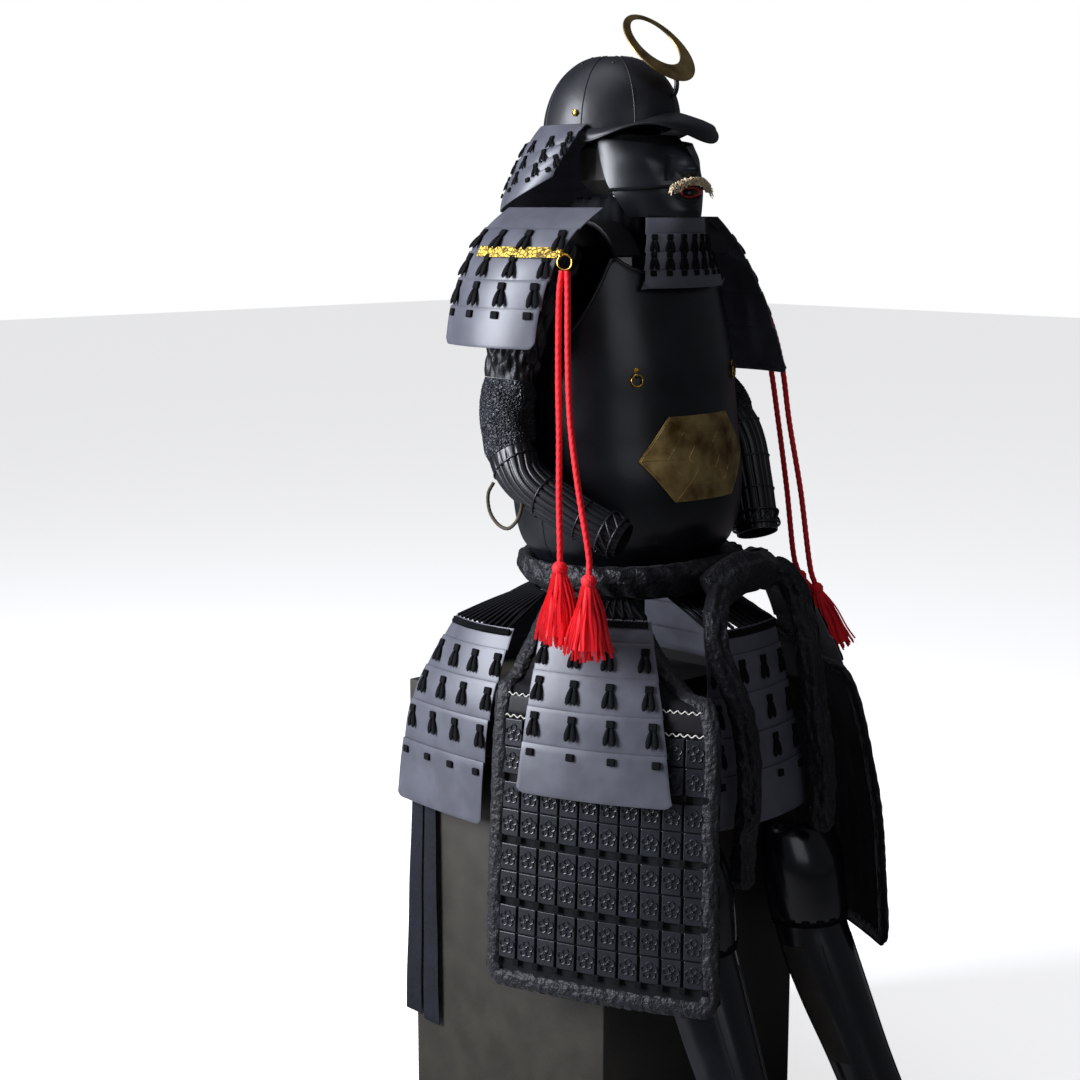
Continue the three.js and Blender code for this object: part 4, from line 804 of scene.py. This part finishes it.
cheek_line = [mask_at(k / 20, 0.58 + 0.12 * abs(2 * k / 20 - 1), 3.4) for k in list(range(0, 8))]
other_line = [mask_at(k / 20, 0.58 + 0.12 * abs(2 * k / 20 - 1), 3.4) for k in list(range(13, 21))]
pieces = [tube("cheek_cord", line, 10, 40, lambda angle, t: 2.6) for line in (cheek_line, other_line)]
put_on(joined("cheek_cords", pieces), braid)


# Collar: a thick padded roll of black cotton that stands round the neck, inside the straps and under the
# mask. It keeps the iron off the skin, and its ends meet under the chin.
collar_cloth = finish("padded black cotton cord", "#0a0b0e", 0.85, bump=[("noise", 1.2, 0.25), ("noise", 22, 1.0)],
                      tint="#0d0e12", specular=0.2)


def collar_at(u, v):
    around, turn = 2 * math.pi * u, 2 * math.pi * v
    pleat = 1 + 0.05 * math.sin(19 * around + 2 * turn) + 0.03 * math.sin(33 * around)
    reach = 68 + 13 * pleat * math.cos(turn)
    high = 1411 + 29 * pleat * math.sin(turn) + 2 * math.cos(around)
    return Vector((1.12 * reach * math.sin(around), 10 - reach * math.cos(around), high))


collar = put_on(shaped("padded_collar", 180, 26, collar_at, closed=True, sharp=70), collar_cloth)


# Throat guard: four lames that hang under the chin on the same black lacing.
THROAT = [(121, 64, 34, 1411.3, 0, 0), (122, 68, 32, 1378, 0, 0), (125, 78, 27, 1345, 0, 0), (131, 88, 24, 1310, 0, 0)]
THROAT_EDGES = [0, 0.25, 0.5, 0.75, 1]


def throat_at(u, v, out=0.0):
    return panel_at(0, THROAT, u, v, out)


put_on(joined("throat_lames", lames(throat_at, THROAT_EDGES, (0, 0, 1360), corner=12)), lame_lacquer_painted_lit,
       stands_for=["throat_guard"])
lace("throat_laces", throat_at, THROAT_EDGES, [0.06, 0.2, 0.35, 0.5, 0.65, 0.8, 0.94], (0, 0, 1360), small=0.75)


# Shoulder guards: five lames each. A strap of gold brocade crosses them and ends in a brass knob and a
# ring, which the red cords hang from.
GUARDS = {
    "right": (-1, -90, 0.2, 1.0, [
        (200, 96, 18, 1426, 0, -20), (246, 95, 20, 1394, 0, -14), (274, 93, 21, 1358, 0, -8),
        (294, 92, 22, 1318, 0, -4), (306, 92, 22, 1276, 0, -1), (314, 92, 22, 1232, 0, 1)]),
    "left": (1, 90, 0.1, 0.7, [
        (134, 58, 8, 1412, 0, -4), (166, 64, 12, 1382, 0, -6), (196, 72, 16, 1340, 0, -8),
        (226, 80, 18, 1285, 0, -10), (250, 86, 20, 1228, 0, -11), (272, 90, 20, 1168, 0, -12)]),
}
GUARD_EDGES = [0, 0.19, 0.38, 0.57, 0.76, 1]
BAND_V, BAND_TALL = 0.37, 17
brocade = finish("gold brocade", "#c99a1e", 0.5, metallic=0.35, bump=[("cells", 5, 0.6), ("X", 1.2, 0.2)],
                 tint="#f2dd80", uv=(150, 17))
weave = brocade.node_tree
petal_shape = add_node(weave, "ShaderNodeTexVoronoi", {"feature": "DISTANCE_TO_EDGE"}, {
    "Vector": add_node(weave, "ShaderNodeMapping", inputs={
        "Vector": add_node(weave, "ShaderNodeTexCoord").outputs["UV"], "Scale": (15, 1.7, 1)}).outputs[0],
    "Scale": 1.6})
shade = add_node(weave, "ShaderNodeValToRGB", inputs={"Fac": petal_shape.outputs["Distance"]})
shade.color_ramp.elements[0].color = hex_colour("#5a4210")
shade.color_ramp.elements[0].position = 0.05
shade.color_ramp.elements[1].color = hex_colour("#f0cf58")
shade.color_ramp.elements[1].position = 0.16
weave.links.new(shade.outputs[0], weave.nodes["Principled BSDF"].inputs["Base Color"])
for side, (sign, degrees, first, stop, rows) in GUARDS.items():
    turn = math.radians(degrees)
    inside = (sign * 60, 0, 1250)

    def guard_at(u, v, out=0.0):
        return panel_at(turn, rows, u, v, out)

    put_on(joined(f"guard_lames_{side}", lames(guard_at, GUARD_EDGES, inside, corner=9)), lame_lacquer_painted_lit,
           stands_for=[f"shoulder_guard_{side}"])
    lace(f"guard_laces_{side}", guard_at, GUARD_EDGES, [0.08, 0.36, 0.64, 0.92], inside)

    def along(f):
        return f if sign < 0 else 1 - f

    slope = math.atan2(column(rows, 0, BAND_V + 0.02) - column(rows, 0, BAND_V - 0.02),
                       column(rows, 3, BAND_V - 0.02) - column(rows, 3, BAND_V + 0.02))

    def band(u, v):
        point = panel_at(turn, rows, along(mix(first, stop, u)), BAND_V, 6.4)
        down = (v - 0.5) * BAND_TALL
        point.z -= down * math.cos(slope) - 2.2 * math.sin(slope)
        point.x += sign * down * math.sin(slope)
        return point

    put_on(shaped(f"brocade_band_{side}", 60, 6, band, inside=inside, wall=2.0, edge=0.6), brocade,
           stands_for=[f"brocade_strap_{side}"])
    end = panel_at(turn, rows, along(stop), BAND_V, 5.2)
    ahead = panel_at(turn, rows, along(stop + 0.02), BAND_V, 5.2) - end
    ahead.z = 0
    ahead.normalize()
    knob_at = end + ahead * 5.8 + Vector((sign * 4.6, 0, 0))
    lean = slope if stop < 1 else 0
    down = Vector((sign * math.sin(lean), 0, -math.cos(lean)))
    bpy.ops.object.select_all(action="DESELECT")
    bpy.ops.mesh.primitive_uv_sphere_add(segments=32, ring_count=16, radius=5.4 * MM)
    knob = bpy.context.object
    for point in knob.data.vertices:
        ridge = 1 + 0.07 * math.cos(10 * math.atan2(point.co.z, point.co.x))
        point.co = Vector((point.co.x * ridge, point.co.y, point.co.z * ridge))
    knob.data.transform(Matrix.Translation(knob_at * MM))
    bpy.ops.object.select_all(action="DESELECT")
    bpy.ops.mesh.primitive_torus_add(major_radius=10.5 * MM, minor_radius=1.3 * MM, major_segments=48,
                                     minor_segments=12)
    hoop = bpy.context.object
    turned = Vector((0, 0, 1)).rotation_difference(ahead.cross(down)).to_matrix().to_4x4()
    hoop.data.transform(Matrix.Translation(EYE[side] * MM) @ turned)
    put_on(joined(f"brass_knob_ring_{side}", [knob, hoop]), brass, stands_for=[f"guard_ring_{side}"])


# Sleeves: gathered black cloth on the upper arm, black mail over the elbow, and long black splints with
# cords between them on the forearm, laced crosswise at the wrist.
SLEEVES = {
    "right": [(-150, 4, 1372, 36, 42), (-188, 12, 1318, 38, 48), (-208, 26, 1250, 36, 48), (-219, 36, 1178, 33, 50),
              (-230, 30, 1106, 34, 48), (-233, -4, 1044, 31, 44), (-213, -78, 998, 29, 38), (-176.2, -154, 958, 26, 34)],
    "left": [(128, 6, 1350, 28, 38), (166, 22, 1300, 26, 36), (196.7, 38, 1240, 20, 36), (213, 46, 1182, 25, 36),
             (230, 10, 1117, 34, 42), (236, -22, 1060, 35, 42), (230, -46, 1000, 34, 38), (212, -82, 914, 32, 34)],
}


def curve_at(points, t):
    """The point and heading at t, from 0 to 1, on the smooth curve that the solids follow."""
    place = min(max(t, 0), 1) * (len(points) - 1)
    i = min(int(place), len(points) - 2)
    f = place - i
    a, b, c, d = (Vector(points[k]) if 0 <= k < len(points) else None for k in range(i - 1, i + 3))
    a = a or b * 2 - c
    d = d or c * 2 - b
    ta, tb, tc = (b - a).length ** 0.5, (c - b).length ** 0.5, (d - c).length ** 0.5
    start = ((b - a) / ta - (c - a) / (ta + tb) + (c - b) / tb) * tb
    stop = ((c - b) / tb - (d - b) / (tb + tc) + (d - c) / tc) * tb
    point = (b * (2 * f ** 3 - 3 * f * f + 1) + c * (3 * f * f - 2 * f ** 3) + start * (f ** 3 - 2 * f * f + f)
             + stop * (f ** 3 - f * f))
    heading = b * (6 * f * f - 6 * f) + c * (6 * f - 6 * f * f) + start * (3 * f * f - 4 * f + 1) + stop * (3 * f * f
                                                                                                      - 2 * f)
    return point, heading.normalized()


def sleeve_at(rows, angle, t, out):
    centre, heading = curve_at([row[:3] for row in rows], t)
    across = Vector((0.35, 0.94, 0)).cross(heading).normalized()
    along = heading.cross(across).normalized()
    return (centre + across * (column(rows, 3, t) + out) * math.cos(angle)
            + along * (column(rows, 4, t) + out) * math.sin(angle))


gathered = finish("gathered black silk", "#0a0b0f", 0.42, bump=[("noise", 1.0, 0.2), ("noise", 9, 2.0)], tint="#0d0e13",
                  specular=0.35)
mail = finish("black mail on cloth", "#15171b", 0.34, metallic=0.3, bump=[("cells", 6.0, 5.0), ("noise", 3, 1.2)],
              tint="#22252b")
splints = finish("black lacquered splints", "#0d0f13", 0.36, bump=[("noise", 2.5, 0.05)], tint="#14161b")


def gather(angle, t):
    wave = math.sin(13 * angle + 3 * math.sin(26 * t)) + 0.6 * math.sin(23 * angle + 40 * t)
    return 2.4 + 2.2 * wave + 2.0 * math.sin(75 * t + 2.2 * math.sin(3 * angle))


def mesh_cloth(angle, t):
    rings = math.sin(48 * angle + 6 * math.sin(70 * t)) * math.sin(260 * t + 4 * math.sin(5 * angle))
    return 2.6 + 1.2 * rings + 2.2 * math.sin(5 * angle + 20 * t) * math.sin(30 * t)


def splint(angle, t):
    bar = abs(math.cos(9 * angle))
    return -1.4 + 3.8 * min(1, bar * 1.6) ** 0.7


for side, rows in SLEEVES.items():
    sign = -1 if side == "right" else 1
    for name, first, stop, relief, count, steps, material, slot in [
        ("upper", 0.0, 0.4275, gather, 150, 80, gathered, "black_cloth"),
        ("elbow", 0.429, 0.6425, mesh_cloth, 220, 110, mail, "mail"),
        ("forearm", 0.644, 1.0, splint, 162, 60, splints, "splints"),
    ]:
        def skin(u, v):
            t = mix(first, stop, v)
            ease = min(1, 8 * min(v, 1 - v) + 0.15)
            return sleeve_at(rows, 2 * math.pi * u, t, relief(2 * math.pi * u, t) * ease)

        made = [shaped("skin", count, steps, skin, closed=True, inside=tuple(sleeve_at(rows, 0, (first + stop) / 2,
                                                                                      -column(rows, 3, 0.5))), wall=1.8)]
        if name == "forearm":
            for wrist in (0.955, 0.985):
                loop = [sleeve_at(rows, 2 * math.pi * k / 36, wrist, 4.2) for k in range(36)]
                made.append(tube("wrist cord", loop, 8, 90, lambda angle, t: 2.2))
            for k in range(10):
                line = [sleeve_at(rows, 2 * math.pi * (k + flip) / 10, 0.955 + 0.03 * flip, 4.6)
                        for flip in (0, 0.25, 0.5, 0.75, 1)]
                made.append(tube("wrist cord", line, 8, 12, lambda angle, t: 2.0))
            for band in (0.68, 0.8, 0.9):
                loop = [sleeve_at(rows, 2 * math.pi * k / 36, band, 2.6) for k in range(36)]
                made.append(tube("band", loop, 8, 90, lambda angle, t: 1.5))
        sleeve = put_on(joined(f"sleeve_{name}_of_{side}_arm", made), material,
                        stands_for=[f"sleeve_{name}_{side}"])


# Belt: a long black silk cloth, crinkled and rolled round the waist, tied in a bulky knot on the front
# left with its two ends hanging over the thighs.
crinkled = finish("crushed black silk velvet", "#08090d", 0.45, bump=[("noise", 1.0, 0.15), ("noise", 15, 7.0),
                                                                      ("noise", 6, 2.5)], tint="#0d0e15", sheen=0.04,
                  specular=0.3)


def crinkle(a, b, c):
    """Soft creases that cross each other, in mm."""
    return (1.3 * math.sin(3.1 * a + 2.0 * math.sin(1.3 * b)) + 1.0 * math.sin(5.3 * b + 2.4 * math.sin(0.9 * a + c))
            + 0.7 * math.sin(4.4 * (a + b) + 3 * c))


def belt_at(u, v):
    angle, turn = 2 * math.pi * u, 2 * math.pi * v
    ahead = max(0, math.cos(angle)) ** 2
    thick = 14 * (1 + 0.9 * ahead)
    fold = 1 + 0.05 * math.cos(3 * turn + 2 * math.sin(3 * angle)) + 0.035 * math.sin(31 * angle + 2 * turn)
    z = 885 + 20.5 * fold * (1 + 0.25 * ahead) * math.sin(turn)
    return cuirass_at(angle, z, thick * fold * (1 + math.cos(turn)) + 2.5 + 0.5 * crinkle(9 * angle, turn, 1)
                      * (1 + math.cos(turn)) / 2)


belt = put_on(shaped("silk_belt", 260, 30, belt_at, closed=True, sharp=70), crinkled,
              stands_for=["belt"])
BELT_RODS = [
    ("belt_knot", 31, 40, 44, [(-34, -196, 866), (-4, -207, 888), (36, -211, 896), (84, -197, 888)]),
    ("belt_tail_right", 16.5, 40, 170, [
        (-30, -214, 870), (-58, -232, 866), (-86, -252, 848), (-98, -266, 808), (-90, -282, 760), (-76, -294, 710),
        (-72, -304, 650), (-80, -314, 580), (-96, -320, 520), (-104, -324, 465)]),
    ("belt_tail_left", 18.5, 40, 150, [
        (80, -212, 890), (100, -222, 884), (113, -240, 852), (112, -258, 810), (104, -276, 740), (104, -292, 660),
        (104, -304, 580), (98, -310, 500)]),
]
for name, radius, around, along, path in BELT_RODS:
    _, length = smooth_path(path, 10)

    def roll(angle, t):
        end = min(1, 18 * min(t, 1 - t) + 0.55)
        pleat = 1.9 * math.cos(5 * angle + 1.4 * math.sin(length * t / 60)) + 0.75 * crinkle(3 * angle, length * t / 30, 2)
        return (radius + pleat) * end

    rolled = put_on(tube(f"silk_{name}", path, around, along, roll), crinkled, stands_for=[name])


# Tassets: six skirts of five laced lames. Each hangs from the waist by a fan of crossed black cords.
TASSETS = {
    "front": (0, [(236, 80, 12, 820, 0, 0), (268, 98, 16, 670, 0, 0), (292, 112, 20, 538, 0, 0)]),
    "front_right": (-66, [(246, 82, 12, 848, 14, -30), (300, 102, 12, 724, 20, -46), (322, 118, 11, 598, 22, -52)]),
    "rear_right": (-92, [(210, 68, 12, 802, 0, 108), (250, 92, 7, 670, 0, 136), (252, 102, 4, 500, 0, 162)]),
    "back": (180, [(232, 80, 12, 802, 0, 0), (286, 98, 6, 670, 0, 0), (288, 112, 2, 520, 0, 0)]),
}
for name in ("front", "rear"):
    turn, rows = TASSETS[f"{name}_right"]
    TASSETS[f"{name}_left"] = (-turn, [(*row[:4], 14 - row[4], row[5]) for row in rows])
TASSET_EDGES = [0, 0.17, 0.34, 0.52, 0.7, 1]
for name, (degrees, rows) in TASSETS.items():
    turn = math.radians(degrees)
    inside = (0, 0, 700)

    def tasset_at(u, v, out=0.0):
        return panel_at(turn, rows, u, v, out)

    put_on(joined(f"tasset_lames_{name}", lames(tasset_at, TASSET_EDGES, inside, corner=7)), lame_lacquer_painted_lit,
           stands_for=[f"tasset_{name}"])
    lace(f"tasset_laces_{name}", tasset_at, TASSET_EDGES, [0.07, 0.36, 0.64, 0.93], inside)
    middle = tasset_at(0.5, 0)
    heading = math.atan2(middle.x, -middle.y)
    outward = Vector((math.sin(heading), -math.cos(heading), 0.6)).normalized()
    cords = []
    for layer, (shift, lift) in enumerate([(0, 1.4), (1, 3.4), (-1, 5.2)]):
        for k in range(11):
            if not 0 <= k + shift <= 10:
                continue
            high = cuirass_at(heading + math.radians(mix(-16, 16, k / 10)), 852, 6)
            low = tasset_at(mix(0.06, 0.94, (k + shift) / 10), 0, -1)
            line = [high.lerp(low, t / 4) + outward * lift * math.sin(math.pi * (0.15 + 0.7 * t / 4)) for t in range(5)]
            cords.append(tube("fan cord", line, 8, 8, lambda angle, t: 2.1))
    for row in (0.03, 0.052):
        edge_line = [tasset_at(0.03 + 0.94 * k / 24, row, 2.4) for k in range(25)]
        cords.append(tube("edge braid", edge_line, 10, 130, lambda angle, t: 2.9 + 0.9 * math.sin(2 * angle + 200 * t)))
    put_on(joined(f"fan_cords_{name}", cords), braid, stands_for=[f"laces_{name}"])


# Thigh guards: padded cloth with a leather band and two rows of white zigzag stitching at the top, then
# rows of small lacquered plates stamped with a five-petal flower. Crinkled black silk binds the border.
THIGHS = {
    "right": [(148, 66, 16, 849.7, 0, 11), (214, 100, 14, 796, 8, -16), (258, 138, 11, 750, 18, -42),
              (284, 170, 10, 722, 26, -62), (303, 176, 12, 540, 28, -64), (312, 179, 13, 420, 29, -66),
              (320, 182, 14, 294, 30, -68)],
    "left": [(148, 66, 16, 849.7, 0, 11), (214, 100, 14, 796, -8, -16), (256, 138, 11, 750, -18, -42),
             (284, 166, 11, 716, -26, -62), (330, 174, 13, 540, -28, -64), (342, 179, 14, 420, -29, -66),
             (350, 182, 14, 294, -30, -68)],
}
quilt = finish("padded black cotton", "#090a0d", 0.8, bump=[("noise", 1.2, 0.25), ("noise", 30, 1.2)], tint="#0e0f13",
               specular=0.2)
stamped = finish("stamped black leather plates", "#14161b", 0.33, bump=[("noise", 1.6, 0.06)], tint="#1b1d24")
piping_silk = finish("crushed black velvet binding", "#08090d", 0.5, bump=[("noise", 9, 5.0), ("noise", 2, 0.5)],
                     tint="#101118", sheen=0.08, specular=0.35)
white_thread = finish("white cotton thread", "#d9d6cd", 0.7, bump=[("noise", 0.8, 0.1)], tint="#c7c4ba")

bpy.ops.object.select_all(action="DESELECT")
bpy.ops.mesh.primitive_cube_add(size=1)
tile = bpy.context.object
tile.data.transform(Matrix.Diagonal((28 * MM, 39 * MM, 2.4 * MM, 1)))
apply_modifier(tile, "BEVEL", width=1.0 * MM, segments=2)
petals = [tile]
for k in range(5):
    bpy.ops.object.select_all(action="DESELECT")
    bpy.ops.mesh.primitive_torus_add(major_radius=4.6 * MM, minor_radius=1.2 * MM, major_segments=12,
                                     minor_segments=5)
    petal = bpy.context.object
    angle = 2 * math.pi * k / 5 + math.pi / 2
    petal.data.transform(Matrix.Translation((7.4 * MM * math.cos(angle), 7.4 * MM * math.sin(angle), 1.7 * MM)))
    petals.append(petal)
bpy.ops.object.select_all(action="DESELECT")
bpy.ops.mesh.primitive_uv_sphere_add(segments=8, ring_count=6, radius=2.2 * MM)
bpy.context.object.data.transform(Matrix.Translation((0, 0, 1.7 * MM)))
petals.append(bpy.context.object)
tile = joined("flower tile", petals)
BANDS, TILE_TOP, BAND_PITCH = 4, 695, 92


def down_to(rows, z):
    """How far down the panel, from 0 to 1, the height z lies."""
    low, high = 0.0, 1.0
    for _ in range(24):
        middle = (low + high) / 2
        low, high = (middle, high) if column(rows, 3, middle) > z else (low, middle)
    return low


for side, rows in THIGHS.items():
    sign = -1 if side == "right" else 1
    turn = math.radians(67.8 * sign)
    inside = (0, 0, 560)

    def thigh_at(u, v, out=0.0):
        point = panel_at(turn, rows, u, v, out - 9)
        point.z += 26 * max(0, v - 0.93) / 0.07 * max(0, abs(2 * u - 1) - 0.9) / 0.1
        return point

    quilted = shaped("quilt", 90, 110, lambda u, v: thigh_at(u, v, 3.2 + 0.9 * abs(math.sin(10 * math.pi * u))
                                                             * abs(math.sin(12 * math.pi * v))), inside=inside,
                     wall=4.4, edge=1.0)
    put_on(quilted, quilt, stands_for=[f"thigh_guard_{side}"])
    corner = [(0.036, 0.93), (0.042, 0.955), (0.062, 0.97)]
    half_way = [(0.036, 0.93 * k / 16, 0) for k in range(16)] + [(*spot, 0) for spot in corner]
    across = [(0.1 + 0.8 * k / 8, 0.972, 0) for k in range(9)]
    border = half_way + across + [(1 - u, v, 0) for u, v, _ in reversed(half_way)]
    route = [Vector(spot) for spot in smooth_path([(u, v * 1.6, 0) for u, v, _ in border], 330)[0]]

    def binding(u, v):
        k = min(round(v * 330), 330)
        here, ahead = route[k], route[min(k + 1, 330)] - route[max(k - 1, 0)]
        middle = thigh_at(here.x, min(here.y / 1.6, 1), 3.4)
        step = 0.004
        across_u = thigh_at(min(here.x + step, 1), here.y / 1.6, 3.4) - thigh_at(max(here.x - step, 0), here.y / 1.6, 3.4)
        down_v = thigh_at(here.x, min(here.y / 1.6 + step, 1), 3.4) - thigh_at(here.x, here.y / 1.6 - step, 3.4)
        out = down_v.cross(across_u).normalized()
        heading = (across_u * ahead.x + down_v * ahead.y / 1.6).normalized()
        aside = heading.cross(out)
        turn_round = 2 * math.pi * u
        relief = 1 + 0.055 * crinkle(2 * turn_round, v * 95, 1)
        end = min(1, 60 * min(v, 1 - v) + 0.4)
        return middle + (aside * 12.5 * math.cos(turn_round) + out * 6.4 * math.sin(turn_round)) * relief * end

    put_on(shaped(f"thigh_binding_{side}", 26, 330, binding, closed=True, sharp=70), piping_silk)

    def band_at(u, v, out=0.0):
        return thigh_at(mix(0.05, 0.95, u), mix(0.488, 0.524, v), 6.2 + out)

    put_on(shaped(f"leather_band_{side}", 80, 6, band_at, inside=inside, wall=1.6, edge=0.5), leather)
    stitches = []
    for v in (-0.12, 1.12):
        zigzag = [band_at(k / 56, v, 0.8) + Vector((0, 0, 2.0 if k % 2 else -2.0)) for k in range(57)]
        stitches.append(tube("stitch", zigzag, 6, 224, lambda angle, t: 1.0))
    put_on(joined(f"zigzag_stitching_{side}", stitches), white_thread)
    tiles, squares = [], []
    for band in range(BANDS):
        top = TILE_TOP - BAND_PITCH * band
        for k in range(10):
            u = 0.1 + 0.8 * k / 9
            for row in (20, 61):
                tiles.append(seat_on(thigh_at, u, down_to(rows, top - row), 6.0, inside))
        for k in range(11):
            squares.append(seat_on(thigh_at, 0.055 + 0.89 * k / 10, down_to(rows, top - 84), 8.0, inside)
                           @ Matrix.Scale(0.9, 4))
    put_on(joined(f"flower_plates_{side}", copies(tile, tiles)), stamped)
    put_on(joined(f"plate_laces_{side}", copies(knot_alone, squares)), braid)


# Shin guards: three plates each under gloss black lacquer, with a domed knee plate above a laced band.
# They stand open at the back on the floor. The left one shows its olive leather lining.
LEG = [(500, -206, 54, 43, 0, 0), (484, -210, 68, 57, 0, 0), (444, -218, 76, 68, 0, 0), (395, -226, 74, 70, 0, 0),
       (356, -234, 69, 67, 0, 0), (350, -236, 65, 62, 0, 0), (300, -256, 67, 62, 2, 2), (230, -290, 64, 58, 2.5, 6),
       (150, -332, 58, 52, 2.5, 11), (60, -380, 56, 50, 2.5, 16), (0, -410, 56, 50, 2.5, 19)]
shin_lacquer = finish("gloss black lacquer on iron", "#0b0d11", 0.22, bump=[("noise", 2.4, 0.012), ("noise", 70, 0.6)],
                      tint="#101319", coat=0.3)
olive = finish("olive leather", "#29231a", 0.75, bump=[("cells", 2.2, 0.2), ("noise", 16, 2.0)], tint="#1d1a15")
for side, sign, x, y in [("right", -1, -92, 16), ("left", 1, 130, -20)]:
    def leg_at(u, v, out=0.0):
        z, back, half, depth, ridge, shift = (column(LEG, k, v) for k in range(6))
        angle = math.radians(mix(-97, 97, u))
        more = ridge * math.cos(3 * angle) + out
        return Vector((x + sign * shift + (half + more) * math.sin(angle), back + y - (depth + more) * math.cos(angle),
                       max(z, 0)))

    inside = (x, y - 200, 250)
    pieces = [shaped("shin", 72, 110, leg_at, inside=inside, wall=2.3, edge=0.6)]
    for u in (0.33, 0.67):
        line = [leg_at(u, t, 0.3) for t in [0.56 + 0.43 * k / 20 for k in range(21)]]
        pieces.append(tube("seam", line, 8, 80, lambda angle, t: 1.1))
    put_on(joined(f"lacquered_shin_{side}", pieces), shin_lacquer, stands_for=[f"leg_guard_{side}"])
    bands = [seat_on(leg_at, 0.06 + 0.88 * k / 9, 0.475, 2.0, inside) for k in range(10)]
    laces = copies(knot_alone, bands)
    for v in (0.45, 0.505):
        laces.append(tube("band", [leg_at(k / 24, v, 1.6) for k in range(25)], 8, 110,
                          lambda angle, t: 2.0 + 0.4 * math.sin(2 * angle + 160 * t)))
    put_on(joined(f"shin_laces_{side}", laces), braid)
    inner = (0.03, 0.2) if side == "left" else (0.8, 0.97)

    def patch(u, v):
        return leg_at(mix(*inner, u), mix(0.57, 0.8, v), 1.4 + 0.5 * math.sin(math.pi * u))

    put_on(shaped(f"olive_patch_{side}", 14, 30, patch, inside=inside, wall=1.2, edge=0.4), olive)


# Ribbon: a dark cloth tie of the box, folded into two strips down its side.
ribbon_cloth = finish("blue-black cotton tape", "#0b0d15", 0.75, bump=[("X", 1.4, 0.15), ("noise", 10, 1.5)],
                      tint="#131620", specular=0.25)
strips = []
for first, stop, top, low, lift in [(0.0, 0.46, 620, 134, 0.0), (0.54, 1.0, 618, 128, 0.4)]:
    def tape(u, v):
        bow = 2 * math.sin(math.pi * v) + 1.5 * math.sin(9 * v) ** 2 * v
        y = mix(mix(248, 278, v), mix(200, 196, v), mix(first, stop, u))
        return Vector((-225 - 1.9 - lift - bow - 0.6 * math.sin(math.pi * u), y, mix(top, low, v)))

    strips.append(shaped("tape", 12, 60, tape, inside=(0, 230, 380), wall=1.4, edge=0.3))
ribbon = put_on(joined("side_tape", strips), ribbon_cloth, stands_for=["side_ribbon"])


# Elbow loop: a thin olive-brown cord that hangs from the right elbow and goes back into the sleeve.
LOOP = [(-252, 36, 1030), (-257, 42, 1014), (-258, 38, 988), (-256, 22, 970), (-254, 4, 966), (-252, -12, 978),
        (-252, -22, 996), (-254, -26, 1008)]
olive_cord = finish("olive braided cord", "#37301f", 0.75, bump=[("noise", 1.0, 0.3)], tint="#463d2a")
loop_path, loop_length = smooth_path(LOOP, 40)
loop = tube("olive_loop", LOOP, 12, 90, lambda angle, t: 2.9 - 0.3 * abs(math.sin(angle + 70 * t)))
put_on(loop, olive_cord, stands_for=["elbow_loop"])

for model in (knot_with_legs, knot_alone, tile):
    bpy.data.objects.remove(model)
